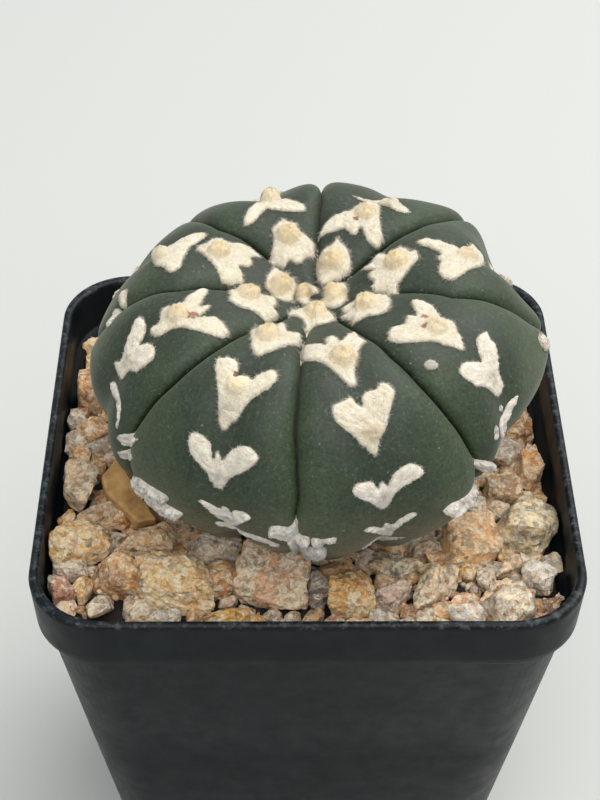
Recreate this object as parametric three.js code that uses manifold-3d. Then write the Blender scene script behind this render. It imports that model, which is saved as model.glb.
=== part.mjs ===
// Potted nudum star cactus: a low eight-ribbed body with V-shaped patches of wool, standing in
// potting mix under a top dressing of crushed granite, in a thin-walled square nursery pot.
// Millimetres, +Z up. The origin is the middle of the pot's underside, and the front is -Y.

import * as THREE from 'three';
import { mergeVertices } from 'three/addons/utils/BufferGeometryUtils.js';
import Module from 'manifold-3d';

const wasm = await Module();
wasm.setup();

// Pot
const POT_HEIGHT = 72;
const RIM_WIDTH = 70;
const RIM_CORNER = 9.5;
const RIM_BAND = 7.5;
const RIM_BAND_LEAN = 0.4;
const RIM_STEP = 1.0;
const WALL = 1.0;
const WALL_TAPER = 0.15;
const LEDGE_SLOPE = 0.4;
const FLOOR_LIFT = 2.0;
const FLOOR_THICK = 1.4;
const DRAIN_DIA = 5;
const DRAIN_SPACING = 26;
const CORNER_STEPS = 6;

// Fill
const GAP = 0.3;
const MIX_TOP = 58;
const MIX_GRAINS_DEEP = 0.6;
const ROOT_TIP = 22;
const ROOT_TIP_RADIUS = 1.6;
const ROOT_SIDES = 14;

// Cactus body: half of its upright section from the crown down, as radius and height over the rim
const BODY_X = 1;
const BODY_Y = 1;
const BODY_SECTION = [
  [0, 22.4], [4, 22.8], [9, 24.4], [15, 26], [20.5, 25.6], [25.5, 22.6], [29.2, 17.5],
  [30.8, 12], [29.3, 6.5], [25, 1], [21.5, -3], [14.5, -6.5], [9, -10], [6.5, -13.5],
];
const BODY_FLAT_SIDE = 152;
const BODY_FLAT_SHARE = 0.055;
const BODY_FLAT_SPREAD = 30;
const CREASE_DEPTH = 1.3;
const CREASE_REACH = 0.9;
const RIB_FALL = 0.015;
const VALLEY_DEPTH = 0.9;
const VALLEY_LOW_DEPTH = 1.2;
const VALLEY_LOW_START = 34;
const VALLEY_LOW_REACH = 20;
const VALLEY_REACH = 2.6;
const FADE_START = 58;
const FADE_END = 68;
// Under its widest turn the body tucks in at its sides. By the angle from its front bearing, its
// front ribs stay full and its back ones tuck in less.
const TUCK_DEPTH = 6.5;
const TUCK_START = 34;
const TUCK_END = 46;
const TUCK_BACK_LOSS = 0.55;
const FRONT_BEARING = -100;
const FRONT_SPREAD = 45;
const FRONT_END = 70;
const BACK_START = 112;
const BACK_END = 160;
// The swell of a rib grows between these distances down from the crown
const SWELL_START = 18;
const SWELL_END = 34;
// Single places where the body bulges, or is leaner where the height is under zero. Each spreads
// some degrees round the body and reaches some way up and down it.
const SWELLINGS = [
  { bearing: 43, distance: 31, spread: 11, reach: 5, height: 2.1 },
  { bearing: 23, distance: 32, spread: 12, reach: 5, height: -1.9 },
  { bearing: 3, distance: 36, spread: 10, reach: 5, height: 1.2 },
  { bearing: -28, distance: 37, spread: 12, reach: 5, height: -1.1 },
  { bearing: 108, distance: 25, spread: 14, reach: 6, height: -1.5 },
  { bearing: 87, distance: 23, spread: 9, reach: 6, height: 0.6 },
];
const RINGS = [
  1.5, 4, 7, 10, 13, 16, 19, 22, 25, 28, 31, 34, 37, 40, 43.5, 47, 50.5, 54, 58, 62, 67,
];
const HALF_RIB_STEPS = [0.3, 0.64, 0.9];

// Bearings of each furrow and of the areole line after it, at four distances down from the crown,
// and how much fuller or leaner the rib's flank is than the common section
const BEARING_DISTANCES = [10, 18, 26, 36];
const RIBS = {
  H: { furrow: [-98.5, -97, -96, -95], areoles: [-79, -78, -76, -73], swell: 0.4 },
  G: { furrow: [-58, -58, -54.5, -47.5], areoles: [-31, -33, -34, -35.5], swell: 0.4 },
  F: { furrow: [-3, -10, -4, 3], areoles: [21, 16, 17, 18], swell: -0.5 },
  E: { furrow: [43.5, 40.5, 42.5, 43], areoles: [67, 66, 64, 63], swell: 0 },
  D: { furrow: [87, 87, 87, 87], areoles: [106, 107, 107, 107], swell: 0 },
  C: { furrow: [131, 137.5, 134, 133], areoles: [150, 155, 158, 159], swell: -0.6 },
  B: { furrow: [181, 185.5, 183, 181], areoles: [200, 206, 203, 205], swell: 0 },
  A: { furrow: [228, 227.5, 223, 217.5], areoles: [244, 244.5, 245, 247.5], swell: 0 },
};
const RIB_NAMES = Object.keys(RIBS);

// Wool on the areoles. Each row: rib, distance of the tuft down from the crown, reach of the two
// wings towards the crown and to each side, reach of the point away from the crown, reach of the
// small lobe between the wings, and width of a wing.
const WOOL = [
  ['A', 12.2, [3.2, -3.4], [3.4, 2.8], 3.3, 2.2, 2.2],
  ['A', 24.4, [4.8, -3.6], [4.6, 3.2], 4.4, 2.0, 2.4],
  ['A', 34.0, [3.2, -4.4], [3.0, 3.6], 3.2, 1.2, 2.2],
  ['A', 41.0, [1.4, -4.0], [2.0, 3.4], 1.4, 0.8, 1.4],
  ['H', 16.2, [4.2, -3.8], [4.4, 3.2], 4.6, 3.2, 2.4],
  ['H', 26.3, [2.8, -3.6], [4.0, 3.6], 4.3, 2.4, 2.8],
  ['H', 35.8, [2.0, -4.4], [3.0, 4.4], 2.9, 0.9, 2.0],
  ['H', 42.6, [1.2, -3.6], [2.2, 3.4], 1.4, 0.8, 1.3],
  ['G', 7.6, [2.4, -2.2], [1.8, 2.2], 2.4, 1.8, 1.9],
  ['G', 18.1, [4.0, -4.6], [4.6, 2.8], 4.6, 1.8, 2.1],
  ['G', 27.6, [3.0, -3.2], [4.0, 4.0], 3.2, 1.4, 2.5],
  ['G', 33.5, [1.6, -2.8], [2.2, 3.4], 2.0, 0.9, 1.5],
  ['F', 11.2, [3.4, -2.8], [3.4, 2.0], 3.4, 2.2, 2.1],
  ['F', 19.4, [2.8, -3.9], [3.2, 4.0], 4.2, 1.6, 2.1],
  ['F', 28.0, [2.6, -3.8], [2.8, 3.8], 3.4, 1.4, 2.2],
  ['F', 36.5, [1.8, -3.6], [2.0, 3.6], 2.2, 1.0, 1.8],
  ['E', 7.8, [3.0, -1.9], [3.2, 1.8], 2.8, 2.2, 1.8],
  ['E', 16.3, [4.2, -3.8], [4.2, 4.2], 3.1, 3.0, 2.1],
  ['E', 24.0, [3.0, -4.0], [3.0, 4.2], 3.4, 1.6, 2.2],
  ['E', 32.5, [2.4, -3.8], [2.4, 3.8], 3.0, 1.2, 2.0],
  ['E', 40.0, [1.4, -3.2], [1.6, 3.2], 1.6, 0.8, 1.4],
  ['D', 11.3, [3.4, -2.4], [3.0, 3.0], 3.0, 3.6, 2.1],
  ['D', 19.8, [4.0, -4.4], [4.2, 4.2], 3.0, 2.4, 2.2],
  ['D', 29.0, [2.8, -3.8], [2.8, 3.8], 3.2, 1.4, 2.1],
  ['D', 37.5, [1.8, -3.4], [1.8, 3.4], 2.0, 0.9, 1.7],
  ['C', 5.6, [2.0, -1.7], [2.0, 2.0], 2.2, 1.4, 1.7],
  ['C', 15.2, [3.8, -3.8], [4.4, 4.0], 3.3, 3.0, 2.3],
  ['C', 22.4, [3.4, -4.2], [1.8, 4.2], 3.0, 1.4, 2.3],
  ['C', 31.5, [2.4, -3.8], [2.4, 3.8], 3.0, 1.2, 2.0],
  ['C', 39.5, [1.4, -3.2], [1.6, 3.2], 1.6, 0.8, 1.4],
  ['B', 8.6, [3.0, -2.0], [2.2, 2.6], 2.6, 1.8, 1.9],
  ['B', 18.7, [4.2, -3.9], [3.2, 4.4], 4.5, 1.8, 2.4],
  ['B', 26.7, [3.2, -3.2], [2.6, 3.3], 4.2, 1.2, 2.6],
  ['B', 32.5, [1.6, -2.8], [1.4, 3.0], 1.9, 0.9, 1.5],
];
const CROWN_WOOL = [
  { bearing: -105, distance: 3.0, size: 2.0 },
  { bearing: -35, distance: 3.2, size: 1.6 },
  { bearing: 35, distance: 3.0, size: 1.8 },
  { bearing: 110, distance: 3.2, size: 1.7 },
  { bearing: 200, distance: 3.0, size: 1.6 },
];
// Young tufts that stand up as balls over the outline
const TALL_TUFTS = [
  { bearing: 107, distance: 19.6, size: 1.5, lift: 3.3 },
  { bearing: 157, distance: 22.2, size: 1.4, lift: 2.8 },
];
// Loose pads of old felt: bearing, distance down from the crown, half length round the body and
// half width down it
const FELT_PADS = [
  { bearing: -95, distance: 44.5, across: 3.4, along: 1.6 },
  { bearing: -46, distance: 38.0, across: 1.9, along: 2.4 },
  { bearing: 217, distance: 38.0, across: 1.9, along: 2.4 },
  { bearing: 230, distance: 41.0, across: 4.2, along: 1.0 },
  { bearing: -53, distance: 41.0, across: 3.4, along: 1.0 },
  { bearing: -47, distance: 22.0, across: 1.2, along: 0.8 },
  { bearing: -2, distance: 34.5, across: 1.4, along: 1.8 },
  { bearing: 183, distance: 29.5, across: 1.3, along: 2.0 },
];
const WOOL_EDGE_LIFT = 0.5;
const WOOL_TUFT_LIFT = 2.0;
const TALL_TUFT_SHOULDER = 0.7;
const WOOL_OLD_LIFT = 0.75;
const WOOL_OLD_DISTANCE = 32;
const WOOL_ROOT = 0.9;

// Gravel. Each named stone: x, y, depth of its middle below the rim, half length, half breadth,
// and the turn of its length from the X axis in degrees
const STONES = [
  [-32.0, 8.6, 6, 1.5, 1.5, 0], [-31.8, 6.5, 8, 1.5, 1.2, 20], [-29.4, 6.3, 6, 2.2, 2.2, 40],
  [-30.9, -5.9, 3.2, 4.4, 2.7, 98], [-28.6, -1.0, 6, 2.7, 1.3, 92], [-26.8, 1.0, 6, 1.4, 1.2, 60],
  [-28.6, -5.4, 7, 1.5, 1.0, 0], [-26.8, -11.2, 4, 3.7, 2.0, 22], [-24.3, -10.9, 5, 1.9, 1.6, 70],
  [-29.6, -16.9, 3.2, 3.9, 2.9, 8], [-23.7, -22.8, 4, 4.1, 3.1, 115], [-30.4, -20.8, 5, 2.2, 1.6, 0],
  [-31.2, -24.6, 4.2, 2.0, 1.5, 95], [-26.4, -27.6, 4, 3.4, 2.5, 35], [-28.9, -23.4, 5, 2.2, 1.5, 60],
  [-20.2, -16.3, 4.2, 4.2, 2.3, -6], [-16.8, -24.2, 3.4, 4.8, 3.2, -12], [-18.3, -29.3, 5.4, 2.3, 1.5, 0],
  [-10.4, -30.3, 4.6, 4.6, 1.7, 4], [-12.0, -17.6, 5, 3.4, 2.3, 10], [-11.0, -22.7, 5, 2.6, 2.5, 0],
  [-4.8, -24.2, 3.8, 4.3, 3.6, -8], [1.0, -24.4, 5, 3.1, 1.9, 100], [-2.9, -30.8, 6, 2.4, 1.4, 0],
  [5.4, -26.0, 4.2, 3.9, 3.7, 70], [11.2, -19.6, 6, 3.3, 2.0, -20], [10.4, -25.9, 5, 2.4, 2.2, -30],
  [10.6, -30.6, 6.5, 2.4, 1.4, 0], [14.6, -16.6, 6, 1.8, 1.5, 20], [15.7, -23.8, 4.2, 4.0, 2.8, 80],
  [16.6, -29.8, 6, 1.8, 1.4, 0], [21.4, -15.8, 4.6, 4.3, 3.2, 25], [20.6, -19.4, 7, 1.8, 1.7, 0],
  [23.4, -21.4, 6.5, 2.6, 1.8, 70], [26.6, -19.0, 6, 1.8, 1.6, 0], [20.2, -28.4, 5.5, 2.3, 1.9, 0],
  [26.0, -27.0, 5, 3.7, 2.8, 30], [29.0, -12.6, 6, 4.3, 3.9, 80], [29.9, -20.9, 6.5, 2.7, 2.1, -25],
  [30.4, -24.8, 8, 1.9, 1.5, 0], [29.8, -28.2, 6.5, 1.4, 1.2, 0], [26.9, -4.2, 7, 2.6, 2.4, 0],
  [30.8, -0.6, 7, 3.4, 2.0, 80], [28.4, 3.0, 7, 2.4, 1.9, 70], [30.4, 9.4, 8, 2.6, 1.8, 70],
  [-30.8, 27.2, 8.4, 2.2, 2.0, 0], [-30.0, 14.2, 6, 3.2, 2.9, 30],
];
// The one flat chip that leans on the others: middle, half sizes and the turn of its length
const CHIP = { x: -24, y: -8.8, depth: 2.6, length: 4.9, breadth: 2, thick: 0.8, turn: -57, tip: 12 };
const STONE_HEIGHT_SHARE = 1.0;
const FILL_PITCH = 5.6;
const FILL_SIZE_MIN = 1.5;
const FILL_SIZE_MAX = 2.7;
const FILL_RISE = 0.3;
const FILL_SEED = 7;
const BED_FRONT_DEPTH = 5.8;
const BED_RIGHT_FALL = 1.4;
const BED_BACK_DEPTH = 10.0;
const BED_FALL_START = -18;
const BED_FALL_END = 30;
const BED_LEFT_LAG = 14;
const BED_SIDE_START = 4;
const BED_SIDE_END = 30;
const STONE_ROOT_SHARE = 0.5;
const CACTUS_CLEARANCE = 1.0;

const DEG = Math.PI / 180;
const COLORS = {
  pot: { color: 0x1d2225, roughness: 0.5, metalness: 0 },
  mix: { color: 0x3a2c20, roughness: 0.95, metalness: 0 },
  gravel: { color: 0xb99d78, roughness: 0.85, metalness: 0 },
  cactus: { color: 0x46534a, roughness: 0.6, metalness: 0 },
};

const lerp = (a, b, t) => a + (b - a) * t;

// Small repeatable random numbers from 0 to 1
function makeRandom(seed) {
  let state = seed;
  return () => {
    state = (state * 16807) % 2147483647;
    return state / 2147483647;
  };
}

// Indexed closed meshes as solids, and back again
function toSolid(positions, faces) {
  return new wasm.Manifold(new wasm.Mesh({
    numProp: 3,
    vertProperties: new Float32Array(positions.flat()),
    triVerts: new Uint32Array(faces.flat()),
  }));
}

function solidOf(geometry) {
  const bare = geometry.clone();
  bare.deleteAttribute('normal');
  bare.deleteAttribute('uv');
  const merged = mergeVertices(bare, 1e-4);
  return new wasm.Manifold(new wasm.Mesh({
    numProp: 3,
    vertProperties: new Float32Array(merged.attributes.position.array),
    triVerts: new Uint32Array(merged.index.array),
  }));
}

function namedMesh(solid, name, look) {
  const mesh = solid.getMesh();
  const geometry = new THREE.BufferGeometry();
  geometry.setAttribute('position', new THREE.BufferAttribute(new Float32Array(mesh.vertProperties), 3));
  geometry.setIndex(new THREE.BufferAttribute(new Uint32Array(mesh.triVerts), 1));
  geometry.computeVertexNormals();
  const result = new THREE.Mesh(geometry, new THREE.MeshStandardMaterial(look));
  result.name = name;
  return result;
}

// Rings of equal count stacked into one closed solid, with a fan to a middle point at each end
function stack(rings, startPoint, endPoint) {
  const count = rings[0].length;
  const positions = [startPoint, ...rings.flat(), endPoint];
  const faces = [];
  const at = (ring, i) => 1 + ring * count + (i % count);
  const last = positions.length - 1;
  for (let i = 0; i < count; i++) {
    faces.push([0, at(0, i + 1), at(0, i)]);
    faces.push([last, at(rings.length - 1, i), at(rings.length - 1, i + 1)]);
  }
  for (let ring = 0; ring + 1 < rings.length; ring++) {
    for (let i = 0; i < count; i++) {
      faces.push([at(ring, i), at(ring, i + 1), at(ring + 1, i + 1)]);
      faces.push([at(ring, i), at(ring + 1, i + 1), at(ring + 1, i)]);
    }
  }
  return toSolid(positions, faces);
}

// Several solids fused into one, without loose scraps or sealed hollows
function fuse(pieces) {
  const shells = wasm.Manifold.union(pieces).decompose();
  return shells.sort((a, b) => b.volume() - a.volume())[0];
}

// A square with round corners, counter-clockwise, at one height
function roundedSquare(half, corner, z) {
  const points = [];
  const inset = half - corner;
  for (let quarter = 0; quarter < 4; quarter++) {
    const centre = new THREE.Vector2(inset, inset).rotateAround(new THREE.Vector2(), quarter * 90 * DEG);
    for (let step = 0; step <= CORNER_STEPS; step++) {
      const angle = (quarter * 90 + step * 90 / CORNER_STEPS) * DEG;
      points.push([centre.x + corner * Math.cos(angle), centre.y + corner * Math.sin(angle), z]);
    }
  }
  return points;
}

// Half width of the pot's outside at a height
function potHalf(z) {
  const bandFoot = POT_HEIGHT - RIM_BAND;
  if (z >= bandFoot) return RIM_WIDTH / 2 - RIM_BAND_LEAN * (POT_HEIGHT - z) / RIM_BAND;
  return RIM_WIDTH / 2 - RIM_BAND_LEAN - RIM_STEP - WALL_TAPER * (bandFoot - z);
}

// Half width of the room inside the pot at a height: its ledge lies one wall over the outer step
function insideHalf(z) {
  const ledge = POT_HEIGHT - RIM_BAND + WALL;
  return potHalf(z < ledge ? Math.min(z, POT_HEIGHT - RIM_BAND - LEDGE_SLOPE) : z) - WALL;
}

function cornerFor(half) {
  return RIM_CORNER * half / (RIM_WIDTH / 2);
}

function potSection(half, z) {
  return roundedSquare(half, cornerFor(half), z);
}

function buildPot() {
  const bandFoot = POT_HEIGHT - RIM_BAND;
  const ledge = bandFoot + WALL;
  const floorTop = FLOOR_LIFT + FLOOR_THICK;
  const outside = stack(
    [
      potSection(potHalf(0), 0),
      potSection(potHalf(bandFoot - LEDGE_SLOPE), bandFoot - LEDGE_SLOPE),
      potSection(potHalf(bandFoot), bandFoot),
      potSection(potHalf(POT_HEIGHT), POT_HEIGHT),
    ],
    [0, 0, 0],
    [0, 0, POT_HEIGHT],
  );
  const inside = stack(
    [
      potSection(insideHalf(floorTop), floorTop),
      potSection(insideHalf(ledge - LEDGE_SLOPE), ledge - LEDGE_SLOPE),
      potSection(insideHalf(ledge), ledge),
      potSection(potHalf(POT_HEIGHT) - WALL, POT_HEIGHT),
      potSection(potHalf(POT_HEIGHT) - WALL, POT_HEIGHT + 5),
    ],
    [0, 0, floorTop],
    [0, 0, POT_HEIGHT + 5],
  );
  const recessHalf = potHalf(0) - WALL * 2;
  const recess = stack(
    [potSection(recessHalf, -5), potSection(recessHalf, FLOOR_LIFT)],
    [0, 0, -5],
    [0, 0, FLOOR_LIFT],
  );
  let pot = outside.subtract(inside).subtract(recess);
  const spots = [[0, 0]];
  for (const sx of [-1, 1]) {
    for (const sy of [-1, 1]) spots.push([sx * DRAIN_SPACING / 2, sy * DRAIN_SPACING / 2]);
  }
  for (const [x, y] of spots) {
    const drill = new THREE.CylinderGeometry(DRAIN_DIA / 2, DRAIN_DIA / 2, 20, 12);
    drill.rotateX(90 * DEG);
    drill.translate(x, y, 0);
    pot = pot.subtract(solidOf(drill));
  }
  return pot;
}

// Smooth curve through the body's section, walked by its length
const sectionCurve = new THREE.SplineCurve(BODY_SECTION.map(([r, z]) => new THREE.Vector2(r, z)));
sectionCurve.arcLengthDivisions = 2000;
const SECTION_LENGTH = sectionCurve.getLength();

function bearingAt(row, distance) {
  const knots = BEARING_DISTANCES;
  let bearing = row[0];
  for (let i = 1; i < knots.length; i++) {
    const share = THREE.MathUtils.clamp((distance - knots[i - 1]) / (knots[i] - knots[i - 1]), 0, 1);
    bearing += share * (row[i] - row[i - 1]);
  }
  return bearing;
}

const wrap = (angle) => ((angle % 360) + 360) % 360;
const turnFrom = (bearing, start) => wrap(bearing - start + 180) - 180;

// Where a bearing falls on its rib: 0 on the areole line and 1 in a furrow, with the half width
// and the rib's swell
function ribPlace(bearing, distance) {
  for (let i = 0; i < RIB_NAMES.length; i++) {
    const rib = RIBS[RIB_NAMES[i]];
    const next = RIBS[RIB_NAMES[(i + 1) % RIB_NAMES.length]];
    const start = bearingAt(rib.furrow, distance);
    const middle = wrap(bearingAt(rib.areoles, distance) - start);
    const end = wrap(bearingAt(next.furrow, distance) - start);
    const here = wrap(bearing - start);
    if (here <= end) {
      const before = here < middle;
      const half = before ? middle : end - middle;
      return { share: Math.abs(here - middle) / half, half, swell: rib.swell };
    }
  }
  return { share: 1, half: 22.5, swell: 0 };
}

// How far the body bulges at one place
function bulge(bearing, distance) {
  let height = 0;
  for (const swelling of SWELLINGS) {
    const round = turnFrom(bearing, swelling.bearing) / swelling.spread;
    const down = (distance - swelling.distance) / swelling.reach;
    height += swelling.height * Math.exp(-(round ** 2) - down ** 2);
  }
  return height;
}

// A point of the body at a distance down from the crown and a bearing, lifted off its surface
function bodyPoint(distance, bearing, lift = 0) {
  const t = Math.min(distance / SECTION_LENGTH, 1);
  const at = sectionCurve.getPointAt(t);
  const along = sectionCurve.getTangentAt(t);
  const out = new THREE.Vector2(-along.y, along.x);
  const { share, half, swell } = ribPlace(bearing, distance);
  const halfWidth = half * DEG * Math.max(at.x, 0.3);
  const toFurrow = (1 - share) * halfWidth;
  const toAreoles = share * halfWidth;
  const fade = 1 - THREE.MathUtils.smoothstep(distance, FADE_START, FADE_END);
  const crease = CREASE_DEPTH * Math.exp(-toFurrow / CREASE_REACH) * (1 - Math.exp(-((at.x / 6) ** 2)));
  const lower = THREE.MathUtils.clamp((distance - VALLEY_LOW_START) / VALLEY_LOW_REACH, 0, 1);
  const valleyDepth = VALLEY_DEPTH * (1 - Math.exp(-((at.x / 20) ** 4))) + VALLEY_LOW_DEPTH * lower;
  const valley = valleyDepth * Math.exp(-((toAreoles / VALLEY_REACH) ** 2));
  const fromFront = Math.abs(turnFrom(bearing, FRONT_BEARING));
  const beside = THREE.MathUtils.smoothstep(fromFront, FRONT_SPREAD, FRONT_END);
  const behind = TUCK_BACK_LOSS * THREE.MathUtils.smoothstep(fromFront, BACK_START, BACK_END);
  const tuck = TUCK_DEPTH * (beside - behind) * THREE.MathUtils.smoothstep(distance, TUCK_START, TUCK_END);
  const grown = THREE.MathUtils.smoothstep(distance, SWELL_START, SWELL_END);
  const fuller = swell * (1 - share ** 4) * grown + bulge(bearing, distance);
  const depth = (RIB_FALL * at.x * share ** 2 + crease + valley + tuck - fuller) * fade - lift;
  const turn = turnFrom(bearing, BODY_FLAT_SIDE);
  const flat = 1 - BODY_FLAT_SHARE * Math.exp(-((turn / BODY_FLAT_SPREAD) ** 2));
  const radius = Math.max((at.x - depth * out.x) * flat, 0.05);
  const z = POT_HEIGHT + at.y - depth * out.y;
  return [BODY_X + radius * Math.cos(bearing * DEG), BODY_Y + radius * Math.sin(bearing * DEG), z];
}

// The ribbed body as one solid, or as its own clearance with fewer sides when lifted
function buildBody(lift, shares) {
  const rings = RINGS.map((distance) => {
    const ring = [];
    RIB_NAMES.forEach((name, i) => {
      const start = bearingAt(RIBS[name].furrow, distance);
      const middle = start + wrap(bearingAt(RIBS[name].areoles, distance) - start);
      const next = RIBS[RIB_NAMES[(i + 1) % RIB_NAMES.length]];
      const end = start + wrap(bearingAt(next.furrow, distance) - start);
      const before = [1, ...[...shares].reverse()].map((share) => lerp(middle, start, share));
      const after = [0, ...shares].map((share) => lerp(middle, end, share));
      for (const bearing of [...before, ...after]) ring.push(bodyPoint(distance, bearing, lift));
    });
    return ring;
  });
  const crown = bodyPoint(0, 0, lift);
  const foot = bodyPoint(SECTION_LENGTH, 0, lift);
  return stack(
    rings.map((ring) => [...ring].reverse()),
    [BODY_X, BODY_Y, crown[2]],
    [BODY_X, BODY_Y, foot[2] - lift],
  );
}

function buildRoot(lift) {
  const top = POT_HEIGHT + BODY_SECTION[BODY_SECTION.length - 1][1];
  const topRadius = BODY_SECTION[BODY_SECTION.length - 1][0];
  const profile = [
    new THREE.Vector2(0, top + 3),
    new THREE.Vector2(topRadius - 1 + lift, top + 3),
    new THREE.Vector2(topRadius - 1 + lift, top - 2),
    new THREE.Vector2(ROOT_TIP_RADIUS * 2 + lift, lerp(top, ROOT_TIP, 0.5)),
    new THREE.Vector2(ROOT_TIP_RADIUS + lift, ROOT_TIP),
    new THREE.Vector2(0, ROOT_TIP - lift),
  ];
  const lathe = new THREE.LatheGeometry(profile.reverse(), ROOT_SIDES);
  lathe.rotateX(90 * DEG);
  lathe.translate(BODY_X, BODY_Y, 0);
  return solidOf(lathe);
}

// A pad that follows the body: an outline round a tuft, sunk roots below and a raised top
function padOnBody(distance, bearing, outline, edgeLift, tuftLift) {
  const radius = Math.hypot(
    bodyPoint(distance, bearing)[0] - BODY_X,
    bodyPoint(distance, bearing)[1] - BODY_Y,
  );
  const place = ([down, across], lift) => {
    const spread = across / Math.max(radius, 2) / DEG;
    return bodyPoint(Math.max(distance + down, 0.4), bearing + spread, lift);
  };
  const top = outline.map((point) => place(point, edgeLift));
  const bottom = outline.map((point) => place(point, -WOOL_ROOT));
  return stack([bottom, top], place([0, 0], -WOOL_ROOT), place([0, 0], tuftLift));
}

// Outline of one patch of wool round its tuft, as distances down and across, running
// counter-clockwise for someone who looks at the body with the crown at the top
function woolOutline(left, right, point, lobe, width) {
  const wing = ([up, side], hand) => {
    const length = Math.hypot(up, side);
    const slopeUp = up / length * width / 2;
    const slopeSide = Math.abs(side) / length * width / 2;
    return [
      [-up * 0.55 + slopeSide, side * 0.75 + hand * slopeUp],
      [-up * 0.95 + slopeSide * 0.8, side + hand * slopeUp * 0.6],
      [-up - slopeSide * 0.3, side * 0.9 - hand * slopeUp * 0.6],
      [-up * 0.6 - slopeSide, side * 0.5 - hand * slopeUp * 0.6],
    ];
  };
  return [
    [point, -0.25],
    [point, 0.25],
    [point * 0.45, width * 0.6],
    ...wing(right, 1),
    [-lobe, 0],
    ...wing(left, -1).reverse(),
    [point * 0.45, -width * 0.6],
  ];
}

function ovalOutline(along, across, count) {
  const points = [];
  for (let i = 0; i < count; i++) {
    const angle = i * 2 * Math.PI / count;
    points.push([along * Math.cos(angle), across * Math.sin(angle)]);
  }
  return points;
}

function buildCactus() {
  const pieces = [buildBody(0, HALF_RIB_STEPS), buildRoot(0)];
  for (const [ribName, distance, left, right, point, lobe, width] of WOOL) {
    const bearing = bearingAt(RIBS[ribName].areoles, distance);
    const tuft = distance > WOOL_OLD_DISTANCE ? WOOL_OLD_LIFT : WOOL_TUFT_LIFT;
    const outline = woolOutline(left, right, point, lobe, width);
    pieces.push(padOnBody(distance, bearing, outline, WOOL_EDGE_LIFT, tuft));
  }
  for (const { bearing, distance, size } of CROWN_WOOL) {
    pieces.push(padOnBody(distance, bearing, ovalOutline(size, size, 8), WOOL_EDGE_LIFT, WOOL_TUFT_LIFT));
  }
  for (const { bearing, distance, size, lift } of TALL_TUFTS) {
    pieces.push(padOnBody(distance, bearing, ovalOutline(size, size, 8), lift * TALL_TUFT_SHOULDER, lift));
  }
  for (const { bearing, distance, across, along } of FELT_PADS) {
    pieces.push(padOnBody(distance, bearing, ovalOutline(along, across, 8), WOOL_EDGE_LIFT, WOOL_OLD_LIFT));
  }
  return fuse(pieces);
}

function buildPottingMix() {
  const floorTop = FLOOR_LIFT + FLOOR_THICK + GAP;
  const rings = [
    potSection(insideHalf(floorTop) - GAP, floorTop),
    potSection(insideHalf(MIX_TOP) - GAP, MIX_TOP - MIX_GRAINS_DEEP),
    potSection(insideHalf(MIX_TOP) - GAP - MIX_GRAINS_DEEP, MIX_TOP),
  ];
  const block = stack(rings, [0, 0, floorTop], [0, 0, MIX_TOP]);
  return block.subtract(buildBody(GAP, [0.6])).subtract(buildRoot(GAP));
}

// Depth below the rim of the bed that carries the stones: shallow in front, deep at the back, and
// on the left it falls away later
function bedDepth(x, y) {
  const left = THREE.MathUtils.smoothstep(-x, BED_SIDE_START, BED_SIDE_END);
  const right = THREE.MathUtils.smoothstep(x, BED_SIDE_START, BED_SIDE_END);
  const back = THREE.MathUtils.smoothstep(y - BED_LEFT_LAG * left, BED_FALL_START, BED_FALL_END);
  return lerp(BED_FRONT_DEPTH + BED_RIGHT_FALL * right, BED_BACK_DEPTH, back);
}

// Height of a stone's middle, never so high that its foot leaves the bed
function stoneHeight(x, y, depth, halfHeight) {
  return POT_HEIGHT - Math.max(depth, bedDepth(x, y) - STONE_ROOT_SHARE * halfHeight);
}

// A rough stone with few faces
function buildStone(x, y, z, halfLength, halfBreadth, halfHeight, turn, tip, random) {
  const stone = new THREE.IcosahedronGeometry(1, 0);
  stone.deleteAttribute('normal');
  stone.deleteAttribute('uv');
  const merged = mergeVertices(stone, 1e-4);
  const position = merged.attributes.position;
  for (let i = 0; i < position.count; i++) {
    const corner = new THREE.Vector3().fromBufferAttribute(position, i);
    corner.multiplyScalar(0.92 + 0.26 * random());
    position.setXYZ(i, corner.x, corner.y, corner.z);
  }
  const place = new THREE.Matrix4().makeRotationX(random() * 2 * Math.PI);
  merged.applyMatrix4(place);
  merged.scale(halfLength, halfBreadth, halfHeight);
  merged.rotateY(tip * DEG);
  merged.rotateZ(turn * DEG);
  merged.translate(x, y, z);
  return solidOf(merged);
}

// Radius that the body keeps clear at a depth below the rim
function bodyRadiusAt(depth) {
  const steps = 80;
  let radius = 0;
  for (let i = steps / 2; i <= steps; i++) {
    const point = sectionCurve.getPointAt(i / steps);
    if (Math.abs(point.y + depth) < 1.2) radius = Math.max(radius, point.x);
  }
  return radius;
}

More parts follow.
